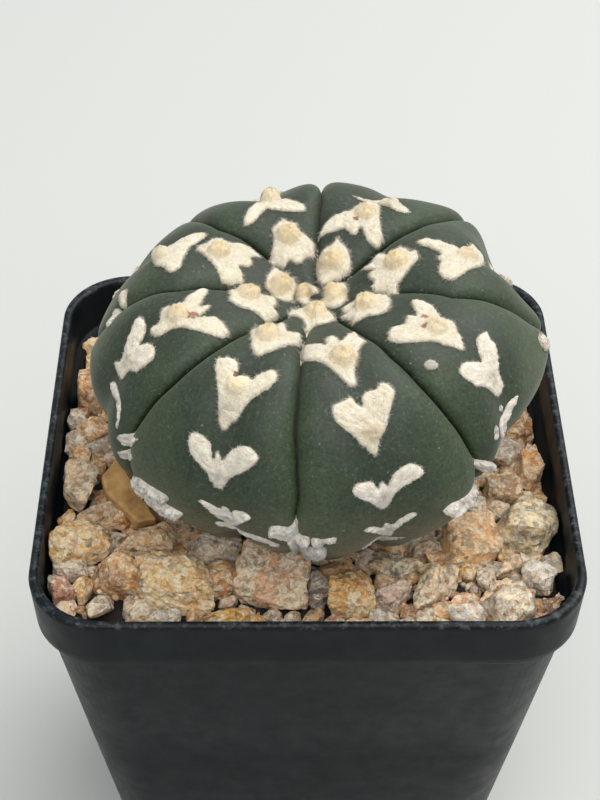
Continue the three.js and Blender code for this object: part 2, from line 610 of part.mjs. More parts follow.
function buildGravel() {
  const random = makeRandom(FILL_SEED);
  const pieces = [];
  for (const [x, y, depth, halfLength, halfBreadth, turn] of STONES) {
    const halfHeight = STONE_HEIGHT_SHARE * halfBreadth;
    const z = stoneHeight(x, y, depth, halfHeight);
    pieces.push(buildStone(x, y, z, halfLength, halfBreadth, halfHeight, turn, 0, random));
  }
  const { x, y, depth, length, breadth, thick, turn, tip } = CHIP;
  pieces.push(buildStone(x, y, POT_HEIGHT - depth, length, breadth, thick, turn, tip, random));
  const reach = insideHalf(POT_HEIGHT - BED_BACK_DEPTH);
  for (let gx = -reach; gx <= reach; gx += FILL_PITCH) {
    for (let gy = -reach; gy <= reach; gy += FILL_PITCH) {
      const sx = gx + (random() - 0.5) * 2.4;
      const sy = gy + (random() - 0.5) * 2.4;
      const size = lerp(FILL_SIZE_MIN, FILL_SIZE_MAX, random());
      const under = bedDepth(sx, sy) - FILL_RISE * size;
      const taken = STONES.some((s) => Math.hypot(s[0] - sx, s[1] - sy) < 0.35 * (s[3] + s[4]) + 0.7 * size);
      const hidden = Math.hypot(sx - BODY_X, sy - BODY_Y) < bodyRadiusAt(under) + 0.6 * size;
      const outside = Math.hypot(Math.max(Math.abs(sx) - 20, 0), Math.max(Math.abs(sy) - 20, 0)) > 13;
      const turned = random() * 180;
      if (!taken && !hidden && !outside) {
        pieces.push(buildStone(sx, sy, POT_HEIGHT - under, size * 1.2, size, size, turned, 0, random));
      }
    }
  }
  const bedFoot = MIX_TOP + GAP;
  const outline = potSection(insideHalf(MIX_TOP) - GAP, 0);
  const shares = [1, 0.8, 0.55];
  const tops = shares.map((share) => outline.map(([px, py]) => {
    return [px * share, py * share, POT_HEIGHT - bedDepth(px * share, py * share)];
  }));
  const foot = outline.map(([px, py]) => [px, py, bedFoot]);
  pieces.push(stack([foot, ...tops], [0, 0, bedFoot], [0, 0, POT_HEIGHT - BED_BACK_DEPTH]));
  const ledge = POT_HEIGHT - RIM_BAND + WALL;
  const room = stack(
    [
      potSection(insideHalf(bedFoot) - GAP, bedFoot),
      potSection(insideHalf(ledge - LEDGE_SLOPE) - GAP, ledge),
      potSection(insideHalf(ledge) - GAP, ledge + GAP),
      potSection(insideHalf(POT_HEIGHT) - GAP, POT_HEIGHT),
    ],
    [0, 0, bedFoot],
    [0, 0, POT_HEIGHT],
  );
  const clearance = buildBody(CACTUS_CLEARANCE, [0.6]).add(buildRoot(CACTUS_CLEARANCE));
  return fuse([wasm.Manifold.union(pieces).intersect(room).subtract(clearance)]);
}

const group = new THREE.Group();
group.add(namedMesh(buildPot(), 'nursery_pot', COLORS.pot));
group.add(namedMesh(buildPottingMix(), 'potting_mix', COLORS.mix));
group.add(namedMesh(buildGravel(), 'gravel_top_dressing', COLORS.gravel));
group.add(namedMesh(buildCactus(), 'star_cactus', COLORS.cactus));

export default group;
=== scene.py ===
import math

import bmesh
import bpy
import numpy as np
from mathutils import Matrix, Vector
from mathutils.bvhtree import BVHTree
from mathutils.interpolate import poly_3d_calc


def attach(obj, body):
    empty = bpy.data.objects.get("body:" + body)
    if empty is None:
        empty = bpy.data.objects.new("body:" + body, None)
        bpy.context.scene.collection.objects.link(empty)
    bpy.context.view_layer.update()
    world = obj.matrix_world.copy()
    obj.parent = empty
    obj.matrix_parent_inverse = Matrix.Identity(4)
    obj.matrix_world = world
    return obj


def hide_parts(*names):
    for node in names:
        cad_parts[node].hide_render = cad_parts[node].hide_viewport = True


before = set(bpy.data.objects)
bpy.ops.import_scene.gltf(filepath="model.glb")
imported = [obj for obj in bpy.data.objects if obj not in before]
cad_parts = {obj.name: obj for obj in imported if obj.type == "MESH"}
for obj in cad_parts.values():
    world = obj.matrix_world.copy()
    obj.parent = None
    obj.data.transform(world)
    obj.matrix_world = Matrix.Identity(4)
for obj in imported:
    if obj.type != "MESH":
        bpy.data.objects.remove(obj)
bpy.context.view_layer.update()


# Camera, light and table top. The plant is seen from close in front and above, in the soft even
# daylight of a room, on a plain pale table.
MM = 0.001
scene = bpy.context.scene
scene.view_settings.view_transform = "Standard"

pitch, yaw, roll = math.radians(41.38), math.radians(0.78), math.radians(0.50)
ahead = Vector((math.sin(yaw) * math.cos(pitch), math.cos(yaw) * math.cos(pitch), -math.sin(pitch)))
level = Vector((math.cos(yaw), -math.sin(yaw), 0))
steep = level.cross(ahead)
right = math.cos(roll) * level + math.sin(roll) * steep
up = math.cos(roll) * steep - math.sin(roll) * level
CAMERA_PLACE = Vector((-3.41, -187.51, 243.12))
camera = bpy.data.objects.new("camera", bpy.data.cameras.new("camera"))
camera.data.lens = 84.33
camera.data.sensor_width = 36
camera.matrix_world = Matrix.Translation(CAMERA_PLACE * MM) @ Matrix(
    (right, up, -ahead)).transposed().to_4x4()
scene.collection.objects.link(camera)
scene.camera = camera

scene.world = bpy.data.worlds.new("pale_room")
scene.world.use_nodes = True
room = scene.world.node_tree.nodes["Background"]
room.inputs["Color"].default_value = (0.90, 0.95, 1.0, 1)
room.inputs["Strength"].default_value = 0.60


def soft_light(name, place, aim, size, power, colour):
    lamp = bpy.data.lights.new(name, "AREA")
    lamp.size = size
    lamp.energy = power
    lamp.color = colour
    holder = bpy.data.objects.new(name, lamp)
    place, aim = Vector(place), Vector(aim)
    turned = (aim - place).to_track_quat("-Z", "Y").to_matrix().to_4x4()
    holder.matrix_world = Matrix.Translation(place) @ turned
    scene.collection.objects.link(holder)


soft_light("window", (0.36, 0.34, 0.78), (0, 0, 0.08), 0.75, 7.6, (1.0, 0.985, 0.95))
soft_light("ceiling", (0.0, -0.42, 0.80), (0, 0, 0.08), 0.8, 5.8, (1.0, 0.98, 0.95))


def new_piece(name, bm):
    mesh = bpy.data.meshes.new(name)
    bm.to_mesh(mesh)
    bm.free()
    piece = bpy.data.objects.new(name, mesh)
    scene.collection.objects.link(piece)
    mesh.shade_smooth()
    return piece


class Finish:
    """One material, put together node by node. Sizes are in millimetres."""

    def __init__(self, name):
        self.material = bpy.data.materials.new(name)
        self.material.use_nodes = True
        self.nodes = self.material.node_tree.nodes
        self.links = self.material.node_tree.links
        self.shader = self.nodes["Principled BSDF"]
        self.place = self.nodes.new("ShaderNodeTexCoord").outputs["Object"]

    def plug(self, socket, value):
        if isinstance(value, bpy.types.NodeSocket):
            self.links.new(value, socket)
        elif isinstance(value, (tuple, list)) and len(value) == 3 and socket.type == "RGBA":
            socket.default_value = (*value, 1)
        else:
            socket.default_value = value

    def set(self, **inputs):
        for name, value in inputs.items():
            self.plug(self.shader.inputs[name.replace("_", " ")], value)

    def noise(self, size, detail=3, roughness=0.55, twist=0, at=None):
        node = self.nodes.new("ShaderNodeTexNoise")
        self.links.new(self.place if at is None else at, node.inputs["Vector"])
        node.inputs["Scale"].default_value = 1 / (size * MM)
        node.inputs["Detail"].default_value = detail
        node.inputs["Roughness"].default_value = roughness
        node.inputs["Distortion"].default_value = twist
        return node.outputs["Fac"]

    def cells(self, size, feature="F1", output="Distance", at=None):
        node = self.nodes.new("ShaderNodeTexVoronoi")
        node.feature = feature
        self.links.new(self.place if at is None else at, node.inputs["Vector"])
        node.inputs["Scale"].default_value = 1 / (size * MM)
        return node.outputs[output]

    def moved(self, offset):
        node = self.nodes.new("ShaderNodeVectorMath")
        self.links.new(self.place, node.inputs[0])
        self.links.new(offset, node.inputs[1])
        return node.outputs[0]

    def warped(self, at, size, amount):
        """A place shaken by noise, so that cells lose their straight sides."""
        node = self.nodes.new("ShaderNodeTexNoise")
        self.links.new(at, node.inputs["Vector"])
        node.inputs["Scale"].default_value = 1 / (size * MM)
        scaled = self.nodes.new("ShaderNodeVectorMath")
        scaled.operation = "MULTIPLY_ADD"
        self.links.new(node.outputs["Color"], scaled.inputs[0])
        scaled.inputs[1].default_value = (amount * MM,) * 3
        self.links.new(at, scaled.inputs[2])
        return scaled.outputs[0]

    def channel(self, colour, number):
        node = self.nodes.new("ShaderNodeSeparateColor")
        self.links.new(colour, node.inputs[0])
        return node.outputs[number]

    def marked(self, name, output="Fac"):
        node = self.nodes.new("ShaderNodeAttribute")
        node.attribute_name = name
        return node.outputs[output]

    def span(self, value, low, high, to_low=0.0, to_high=1.0):
        node = self.nodes.new("ShaderNodeMapRange")
        self.plug(node.inputs["Value"], value)
        ends = {"From Min": low, "From Max": high, "To Min": to_low, "To Max": to_high}
        for socket, number in ends.items():
            node.inputs[socket].default_value = number
        return node.outputs["Result"]

    def sum(self, kind, a, b):
        node = self.nodes.new("ShaderNodeMath")
        node.operation = kind
        self.plug(node.inputs[0], a)
        self.plug(node.inputs[1], b)
        return node.outputs[0]

    def mix(self, share, a, b, kind="MIX"):
        node = self.nodes.new("ShaderNodeMix")
        node.data_type = "RGBA"
        node.blend_type = kind
        self.plug(node.inputs["Factor"], share)
        self.plug(node.inputs[6], a)
        self.plug(node.inputs[7], b)
        return node.outputs[2]

    def relief(self, height, depth, below=None):
        node = self.nodes.new("ShaderNodeBump")
        self.links.new(height, node.inputs["Height"])
        node.inputs["Distance"].default_value = depth * MM
        if below is not None:
            self.links.new(below, node.inputs["Normal"])
        return node.outputs["Normal"]


def tone(code):
    """A colour from its six-letter sRGB code."""
    parts = [int(code[i:i + 2], 16) / 255 for i in (0, 2, 4)]
    return tuple(c / 12.92 if c <= 0.04045 else ((c + 0.055) / 1.055) ** 2.4 for c in parts)


table_bm = bmesh.new()
bmesh.ops.create_grid(table_bm, x_segments=1, y_segments=1, size=2.5)
table_top = new_piece("table_top", table_bm)
table_finish = Finish("pale_table_top")
table_finish.set(Base_Color=tone("b9bab7"), Roughness=0.8)
table_top.data.materials.append(table_finish.material)


# Square nursery pot. Thin black polypropylene, injection moulded in one piece: tapered walls, a
# stepped band under the lip that stiffens it, and drain holes in a floor that stands on its skirt.
POT_HEIGHT = 72
RIM_HALF = 35
RIM_CORNER = 9.5
POT_SKIN = 1.0
BAND_FOOT = 64.5
DRAIN_SPOTS = [(0, 0), (-13, -13), (13, -13), (-13, 13), (13, 13)]


def wall_half(z):
    return 33.6 - 0.15 * (BAND_FOOT - z)


# half width and height of each turn of the wall, from under the floor out, up and back down inside
POT_TURNS = [
    (21.9, 0.6), (22.3, 0.0), (23.3, 0.0), (23.9, 0.6),
    (wall_half(40), 40), (wall_half(64), 64.0), (34.25, 64.3), (34.55, 64.75), (34.62, 65.6),
    (34.93, 71.0), (34.98, 71.6), (34.8, 71.93), (34.4, 72.0), (34.0, 71.93), (33.82, 71.55),
    (33.62, 66.0), (33.4, 65.5), (32.55, 65.2), (wall_half(40) - POT_SKIN, 40),
    (wall_half(4) - POT_SKIN, 4.2), (22.5, 3.4),
]
pot_bm = bmesh.new()
bmesh.ops.create_grid(pot_bm, x_segments=1, y_segments=1, size=RIM_HALF)
bmesh.ops.bevel(pot_bm, geom=pot_bm.verts[:], affect="VERTICES", offset=RIM_CORNER, segments=14,
                profile=0.5, material=-1)
sides = [e for e in pot_bm.edges if e.calc_length() > RIM_HALF]
bmesh.ops.subdivide_edges(pot_bm, edges=sides, cuts=24)
half_now = 21.9
bmesh.ops.scale(pot_bm, vec=(half_now / RIM_HALF, half_now / RIM_HALF, 1), verts=pot_bm.verts[:])
bmesh.ops.translate(pot_bm, vec=(0, 0, 2.0), verts=pot_bm.verts[:])
edge_loop = pot_bm.edges[:]
height_now = 2.0
for half, height in POT_TURNS:
    grown = bmesh.ops.extrude_edge_only(pot_bm, edges=edge_loop)["geom"]
    ring = [g for g in grown if isinstance(g, bmesh.types.BMVert)]
    edge_loop = [g for g in grown if isinstance(g, bmesh.types.BMEdge)]
    bmesh.ops.scale(pot_bm, vec=(half / half_now, half / half_now, 1), verts=ring)
    bmesh.ops.translate(pot_bm, vec=(0, 0, height - height_now), verts=ring)
    half_now, height_now = half, height
bmesh.ops.contextual_create(pot_bm, geom=edge_loop)
bmesh.ops.scale(pot_bm, vec=(MM, MM, MM), verts=pot_bm.verts[:])
bmesh.ops.recalc_face_normals(pot_bm, faces=pot_bm.faces[:])
pot = new_piece("pot_shell", pot_bm)

drill_bm = bmesh.new()
for x, y in DRAIN_SPOTS:
    bmesh.ops.create_cone(drill_bm, cap_ends=True, segments=28, radius1=2.5 * MM, radius2=2.5 * MM,
                          depth=8 * MM, matrix=Matrix.Translation(Vector((x, y, 2.5)) * MM))
drill = new_piece("drain_drill", drill_bm)
cut = pot.modifiers.new("drain_holes", "BOOLEAN")
cut.object = drill
cut.solver = "EXACT"
bpy.context.view_layer.update()
drilled = bpy.data.meshes.new_from_object(pot.evaluated_get(bpy.context.evaluated_depsgraph_get()))
pot.modifiers.clear()
pot.data = drilled
bpy.data.objects.remove(drill)
pot.data.shade_smooth()

plastic = Finish("pot_plastic")
split = plastic.nodes.new("ShaderNodeSeparateXYZ")
plastic.links.new(plastic.place, split.inputs[0])
lip = plastic.span(split.outputs["Z"], 71.2 * MM, 71.9 * MM)
# whitish wear along the lip, which also serves as the lip's painted grey highlight line
lip_wear_and_highlight = plastic.span(plastic.noise(1.2, 6, 0.75), 0.50, 0.66)
lip_wear_and_highlight = plastic.sum("MULTIPLY", lip_wear_and_highlight, lip)
dust = plastic.span(plastic.noise(9, 4, 0.6), 0.35, 0.8)
shade = plastic.mix(dust, tone("04090d"), tone("0a1217"))
shade = plastic.mix(lip_wear_and_highlight, shade, tone("434b4e"))
grain = plastic.noise(0.25, 2)
plastic.set(Base_Color=shade, Roughness=plastic.span(plastic.noise(3, 4), 0.3, 0.7, 0.38, 0.52),
            Normal=plastic.relief(grain, 0.015))
plastic.shader.inputs["Specular IOR Level"].default_value = 0.2
pot.data.materials.clear()
pot.data.materials.append(plastic.material)
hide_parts("nursery_pot")
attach(pot, "root")


# Potting mix. Peat and grit, filled in loose under the top dressing; it keeps the frame's own
# block, which only shows through gaps.
soil = Finish("potting_mix")
crumb = soil.noise(1.6, 6, 0.7)
grit = soil.cells(1.1)
soil.set(Base_Color=soil.mix(soil.span(crumb, 0.35, 0.65), tone("1c140d"), tone("4a3626")), Roughness=0.95,
         Normal=soil.relief(grit, 0.5, soil.relief(crumb, 0.8)))
mix_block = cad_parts["potting_mix"]
mix_block.data.materials.clear()
mix_block.data.materials.append(soil.material)


# Top dressing. Crushed and tumbled granite chips of 4 to 9 mm in cream, ochre, brown and grey,
# poured round the plant by hand over a bed of finer dark grit.
STONE_TONES = {
    "cream": ("dccbac", "cf9f7c"), "yellow cream": ("dcc493", "c09a66"),
    "cream pink": ("d4ba98", "96866f"), "beige": ("c2a582", "8c7458"),
    "peach": ("d8b284", "b08a5e"), "ochre": ("b98a47", "d8b884"),
    "yellow ochre": ("c79a48", "8a6630"), "orange": ("bd8a55", "d9b68c"),
    "orange brown": ("a8794a", "cfa372"), "brown": ("94683f", "c09a6c"),
    "dark brown": ("4e3828", "86664a"), "red": ("a0705a", "7a5544"),
    "pink grey": ("a89083", "c8b09c"), "grey": ("8e857b", "b9ab98"),
    "pale grey": ("aba69f", "cfc6b8"), "dark grey": ("625d58", "8b8278"),
    "grey cream": ("9b9184", "d9cbb0"), "olive grey": ("87806c", "cdb88f"),
}
# x, y, depth of the middle below the rim, half length, half breadth, turn of its length, tone
STONES = [
    (-32.0, 8.6, 6, 1.5, 1.5, 0, "grey cream"), (-31.8, 6.5, 8, 1.5, 1.2, 20, "brown"),
    (-29.4, 6.3, 6, 2.2, 2.2, 40, "orange brown"), (-30.9, -5.9, 3.2, 4.4, 2.7, 98, "cream pink"),
    (-28.6, -1.0, 6, 2.7, 1.3, 92, "brown"), (-26.8, 1.0, 6, 1.4, 1.2, 60, "pink grey"),
    (-28.6, -5.4, 7, 1.5, 1.0, 0, "dark brown"), (-26.8, -11.2, 4, 3.7, 2.0, 22, "beige"),
    (-24.3, -10.9, 5, 1.9, 1.6, 70, "orange brown"), (-29.6, -16.9, 3.2, 3.9, 2.9, 8, "yellow cream"),
    (-23.7, -22.8, 4, 4.1, 3.1, 115, "brown"), (-30.4, -20.8, 5, 2.2, 1.6, 0, "grey"),
    (-31.2, -24.6, 4.2, 2.0, 1.5, 95, "red"), (-26.4, -27.6, 4, 3.4, 2.5, 35, "grey cream"),
    (-28.9, -23.4, 5, 2.2, 1.5, 60, "ochre"), (-20.2, -16.3, 4.2, 4.2, 2.3, -6, "peach"),
    (-16.8, -24.2, 3.4, 4.8, 3.2, -12, "yellow cream"), (-18.3, -29.3, 5.4, 2.3, 1.5, 0, "pale grey"),
    (-10.4, -30.3, 4.6, 4.6, 1.7, 4, "yellow ochre"), (-12.0, -17.6, 5, 3.4, 2.3, 10, "grey cream"),
    (-11.0, -22.7, 5, 2.6, 2.5, 0, "brown"), (-4.8, -24.2, 3.8, 4.3, 3.6, -8, "cream"),
    (1.0, -24.4, 5, 3.1, 1.9, 100, "dark grey"), (-2.9, -30.8, 6, 2.4, 1.4, 0, "grey cream"),
    (5.4, -26.0, 4.2, 3.9, 3.7, 70, "ochre"), (11.2, -19.6, 6, 3.3, 2.0, -20, "olive grey"),
    (10.4, -25.9, 5, 2.4, 2.2, -30, "pink grey"), (10.6, -30.6, 6.5, 2.4, 1.4, 0, "dark grey"),
    (14.6, -16.6, 6, 1.8, 1.5, 20, "cream pink"), (15.7, -23.8, 4.2, 4.0, 2.8, 80, "cream pink"),
    (16.6, -29.8, 6, 1.8, 1.4, 0, "ochre"), (21.4, -15.8, 4.6, 4.3, 3.2, 25, "peach"),
    (20.6, -19.4, 7, 1.8, 1.7, 0, "ochre"), (23.4, -21.4, 6.5, 2.6, 1.8, 70, "grey cream"),
    (26.6, -19.0, 6, 1.8, 1.6, 0, "cream pink"), (20.2, -28.4, 5.5, 2.3, 1.9, 0, "pale grey"),
    (26.0, -27.0, 5, 3.7, 2.8, 30, "grey cream"), (29.0, -12.6, 6, 4.3, 3.9, 80, "olive grey"),
    (29.9, -20.9, 6.5, 2.7, 2.1, -25, "pale grey"), (30.4, -24.8, 8, 1.9, 1.5, 0, "dark brown"),
    (29.8, -28.2, 6.5, 1.4, 1.2, 0, "red"), (26.9, -4.2, 7, 2.6, 2.4, 0, "beige"),
    (30.8, -0.6, 7, 3.4, 2.0, 80, "orange"), (28.4, 3.0, 7, 2.4, 1.9, 70, "grey"),
    (30.4, 9.4, 8, 2.6, 1.8, 70, "brown"), (-30.8, 27.2, 8.4, 2.2, 2.0, 0, "yellow cream"),
    (-30.0, 14.2, 6, 3.2, 2.9, 30, "orange brown"),
]
BODY_X = BODY_Y = 1.0
random_stone = np.random.default_rng(11)


def smooth(value, low, high):
    t = np.clip((value - low) / (high - low), 0, 1)
    return t * t * (3 - 2 * t)


def bed_depth(x, y):
    """Depth of the bed's top below the rim: shallow in front, deep behind the plant."""
    back = smooth(y - 14 * smooth(-x, 4, 30), -18, 30)
    return (5.8 + 1.4 * smooth(x, 4, 30)) * (1 - back) + 10.0 * back


def lumps(points, size, seed, waves=14):
    """Smooth random relief from -1 to 1 with lumps of about the given size."""
    source = np.random.default_rng(seed)
    headings = source.normal(size=(waves, 3))
    headings /= np.linalg.norm(headings, axis=1)[:, None]
    pace = 2 * math.pi / (size * source.uniform(0.7, 1.6, waves))
    phase = source.uniform(0, 2 * math.pi, waves)
    return np.sin(points @ headings.T * pace + phase).sum(1) / math.sqrt(waves * 2)


def mesh_arrays(bm):
    """Vertices and faces of a bmesh as plain arrays."""
    bm.verts.index_update()
    points = np.array([v.co for v in bm.verts])
    faces = [[v.index for v in f.verts] for f in bm.faces]
    bm.free()
    return points, faces


def round_start(divisions):
    bm = bmesh.new()
    bmesh.ops.create_icosphere(bm, subdivisions=divisions, radius=1)
    return mesh_arrays(bm)


ROUND_STARTS = {divisions: round_start(divisions) for divisions in (1, 2, 3, 4, 5)}


def crushed_stone(divisions, halves, turn, tip, random):
    """A crushed stone: a skew block of big fractures with its corners rubbed round and its faces rough."""
    directions, faces = ROUND_STARTS[divisions]
    sides = np.eye(3) + 0.28 * random.normal(size=(3, 3))
    opposite = 0.22 * random.normal(size=(3, 3)) - sides
    fractures = np.concatenate([sides, opposite, random.normal(size=(9, 3))])
    fractures /= np.linalg.norm(fractures, axis=1)[:, None]
    reach = np.concatenate([random.uniform(0.72, 0.9, 6), random.uniform(0.86, 1.08, 9)])
    facing = np.clip(directions @ fractures.T, 0, None) / reach
    wear = random.uniform(14, 32)
    points = directions * (facing ** wear).sum(1)[:, None] ** (-1 / wear)
    points = points / np.abs(points).max(0)
    if divisions > 2:
        relief = 0.08 * lumps(points, 0.9, int(random.integers(1e6)))
        relief += 0.045 * (1 - 2 * np.abs(lumps(points, 0.38, int(random.integers(1e6)))))
        relief += 0.018 * (1 - 2 * np.abs(lumps(points, 0.15, int(random.integers(1e6)))))
        points = points * (1 + relief[:, None])
    points = points * np.array(halves)
    c, s = math.cos(math.radians(tip)), math.sin(math.radians(tip))
    points = points @ np.array([[c, 0, s], [0, 1, 0], [-s, 0, c]]).T
    c, s = math.cos(math.radians(turn)), math.sin(math.radians(turn))
    return points @ np.array([[c, -s, 0], [s, c, 0], [0, 0, 1]]).T, faces


LEDGE_TOP = 65.4
RIM_INSIDE = 33.3


def kept_inside(points):
    """The points, moved in where they would pass the pot's wall."""
    half = np.where(points[:, 2] > LEDGE_TOP, RIM_INSIDE, wall_half(points[:, 2]) - POT_SKIN - 0.3)
    corner = RIM_CORNER * half / RIM_HALF
    straight = half - corner
    over = np.maximum(np.abs(points[:, :2]) - straight[:, None], 0)
    reach = np.linalg.norm(over, axis=1)
    kept = np.minimum(np.abs(points[:, :2]), straight[:, None])
    kept += over * np.minimum(1, corner / np.maximum(reach, 1e-6))[:, None]
    return np.column_stack([np.sign(points[:, :2]) * kept, points[:, 2]])


def joined(name, parts):
    """One mesh piece from many parts: each part is its points in millimetres, its faces and the
    values that it carries, one for all of its points or one for each."""
    points = np.concatenate([p for p, f, marks in parts]) * MM
    faces, start = [], 0
    for part_points, part_faces, marks in parts:
        faces += [[i + start for i in face] for face in part_faces]
        start += len(part_points)
    mesh = bpy.data.meshes.new(name)
    mesh.from_pydata(points.tolist(), [], faces)
    for key in parts[0][2]:
        values = []
        for part_points, part_faces, marks in parts:
            value = np.asarray(marks[key], dtype=np.float32)
            if value.shape[:1] != (len(part_points),):
                value = np.broadcast_to(value, (len(part_points), *value.shape))
            values.append(value)
        values = np.concatenate(values)
        kind, field = ("FLOAT_VECTOR", "vector") if values.ndim == 2 else ("FLOAT", "value")
        mesh.attributes.new(key, kind, "POINT").data.foreach_set(field, values.ravel())
    piece = bpy.data.objects.new(name, mesh)
    scene.collection.objects.link(piece)
    mesh.shade_smooth()
    return piece


def stone_part(x, y, z, halves, turn, tip, kind, divisions):
    points, faces = crushed_stone(divisions, halves, turn, tip, random_stone)
    main, patch = (np.array(tone(code)) for code in STONE_TONES[kind])
    light = random_stone.uniform(1.4, 2.05)
    marks = {
        "stone_main": main * min(light, 0.88 / main.max()),
        "stone_patch": patch * min(light, 0.88 / patch.max()),
        "stone_shift": random_stone.uniform(-1, 1, 3),
    }
    return kept_inside(points + np.array((x, y, z))), faces, marks


big_stones, side_stones = [], []
for x, y, depth, half_length, half_breadth, turn, kind in STONES:
    middle = POT_HEIGHT - max(depth, bed_depth(x, y) - 0.5 * half_breadth)
    halves = (half_length * 1.14, half_breadth * 1.14, half_breadth * 1.1)
    in_front = y < -14 and x < 20
    group, divisions = (big_stones, 5) if in_front else (side_stones, 4)
    group.append(stone_part(x, y, middle, halves, turn, 0, kind, divisions))
stones = joined("gravel_front_stones", big_stones)
more_stones = joined("gravel_side_stones", side_stones)

# one flat splinter leans on the plant's left side
CHIP_OUTLINE = [(-3.4, -1.8), (-1.0, -2.6), (5.4, -1.3), (6.1, 1.2), (-2.3, 1.5), (-5.3, 2.0)]
chip_bm = bmesh.new()
chip_face = chip_bm.faces.new([chip_bm.verts.new((x, y, -0.8)) for x, y in CHIP_OUTLINE])
chip_top = bmesh.ops.extrude_face_region(chip_bm, geom=[chip_face], use_keep_orig=True)["geom"]
chip_top = [g for g in chip_top if isinstance(g, bmesh.types.BMVert)]
bmesh.ops.translate(chip_bm, vec=(0, 0, 1.6), verts=chip_top)
bmesh.ops.recalc_face_normals(chip_bm, faces=chip_bm.faces[:])
bmesh.ops.bevel(chip_bm, geom=chip_bm.edges[:], affect="EDGES", offset=0.3, segments=3, profile=0.5,
                material=-1)
bmesh.ops.triangulate(chip_bm, faces=chip_bm.faces[:])
long_edges = [e for e in chip_bm.edges if e.calc_length() > 0.8]
bmesh.ops.subdivide_edges(chip_bm, edges=long_edges, cuts=6, use_grid_fill=True)
chip_place = Matrix.Translation((-24.0, -8.8, POT_HEIGHT - 2.6))
chip_place @= Matrix.Rotation(math.radians(-57), 4, "Z")
chip_place @= Matrix.Rotation(math.radians(12), 4, "Y")
bmesh.ops.transform(chip_bm, matrix=chip_place, verts=chip_bm.verts[:])
chip_points, chip_faces = mesh_arrays(chip_bm)
chip_points = chip_points + 0.06 * lumps(chip_points, 2.0, 8)[:, None]
chip = joined("gravel_splinter", [(chip_points, chip_faces, {})])
splinter = Finish("tan_splinter")
cloud = splinter.noise(3.0, 4, 0.6)
splinter.set(Base_Color=splinter.mix(splinter.span(cloud, 0.35, 0.65), tone("c89c60"), tone("8c6838")),
             Roughness=0.55, Normal=splinter.relief(splinter.noise(0.5, 4), 0.08))
chip.data.materials.append(splinter.material)


def corner_gap(x, y, half):
    """How far a spot lies inside the pot's rounded square, in millimetres."""
    corner = RIM_CORNER * half / RIM_HALF
    dx, dy = abs(x) - (half - corner), abs(y) - (half - corner)
    return corner - math.hypot(max(dx, 0), max(dy, 0)) - min(max(dx, dy), 0)


BED_HALF = 33.2
BED_FOOT = 58.3
PLANT_CLEAR = 15
SMALL_KINDS = [
    "beige", "brown", "orange brown", "grey", "grey cream", "ochre", "pink grey", "cream", "peach",
]
front_fill, back_fill = [], []
placed = []
for tries in range(16000):
    x, y = random_stone.uniform(-33, 33, 2)
    size = random_stone.uniform(1.1, 2.5)
    from_plant = math.hypot(x - BODY_X, y - BODY_Y)
    if corner_gap(x, y, BED_HALF) < 0.45 * size or from_plant < PLANT_CLEAR + 0.3 * size:
        continue
    if any(math.hypot(s[0] - x, s[1] - y) < 0.42 * (s[3] + s[4]) + 0.44 * size for s in STONES):
        continue
    if any(math.hypot(px - x, py - y) < 0.70 * (ps + size) for px, py, ps in placed):
        continue
    placed.append((x, y, size))
    kind = SMALL_KINDS[int(random_stone.integers(len(SMALL_KINDS)))]
    halves = (size * random_stone.uniform(1.05, 1.4), size, size * random_stone.uniform(0.75, 1.0))
    group, divisions = (front_fill, 3) if y < -8 else (back_fill, 2)
    z = POT_HEIGHT - bed_depth(x, y) - 0.1 * size
    group.append(stone_part(x, y, z, halves, random_stone.uniform(0, 180), random_stone.uniform(-25, 25),
                            kind, divisions))
fill_stones = joined("gravel_front_fill", front_fill)
more_fill = joined("gravel_back_fill", back_fill)

grit_grains = []
GRIT_COUNT = 900
while len(grit_grains) < GRIT_COUNT:
    x, y = random_stone.uniform(-33, 33, 2)
    if corner_gap(x, y, 33.0) < 0.8 or math.hypot(x - BODY_X, y - BODY_Y) < 13:
        continue
    size = random_stone.uniform(0.3, 0.8)
    kind = SMALL_KINDS[int(random_stone.integers(len(SMALL_KINDS)))]
    halves = size * random_stone.uniform(0.7, 1.3, 3)
    depth = bed_depth(x, y) - random_stone.uniform(-0.2, 0.5)
    grit_grains.append(stone_part(x, y, POT_HEIGHT - depth, halves, random_stone.uniform(0, 180),
                                  random_stone.uniform(-60, 60), kind, 1))
grit_piece = joined("gravel_grit", grit_grains)

bed_bm = bmesh.new()
bmesh.ops.create_grid(bed_bm, x_segments=110, y_segments=110, size=BED_HALF)
outside = [v for v in bed_bm.verts if corner_gap(v.co.x, v.co.y, BED_HALF) < 0]
bmesh.ops.delete(bed_bm, geom=outside, context="VERTS")
bed_points = np.array([v.co for v in bed_bm.verts])
bed_relief = 0.45 * lumps(bed_points, 3.0, 3) + 0.3 * lumps(bed_points, 1.2, 4)
for vert, relief in zip(bed_bm.verts, bed_relief):
    vert.co.z = POT_HEIGHT - bed_depth(vert.co.x, vert.co.y) - 0.4 + relief
for vert, place in zip(bed_bm.verts, kept_inside(np.array([v.co for v in bed_bm.verts]))):
    vert.co = place
rim_edges = [e for e in bed_bm.edges if e.is_boundary]
skirt = bmesh.ops.extrude_edge_only(bed_bm, edges=rim_edges)["geom"]
for vert in (g for g in skirt if isinstance(g, bmesh.types.BMVert)):
    vert.co.z = BED_FOOT
    vert.co.x *= 0.965
    vert.co.y *= 0.965
bmesh.ops.holes_fill(bed_bm, edges=[e for e in bed_bm.edges if e.is_boundary])
bmesh.ops.recalc_face_normals(bed_bm, faces=bed_bm.faces[:])
bmesh.ops.scale(bed_bm, vec=(MM, MM, MM), verts=bed_bm.verts[:])
bed = new_piece("gravel_bed", bed_bm)

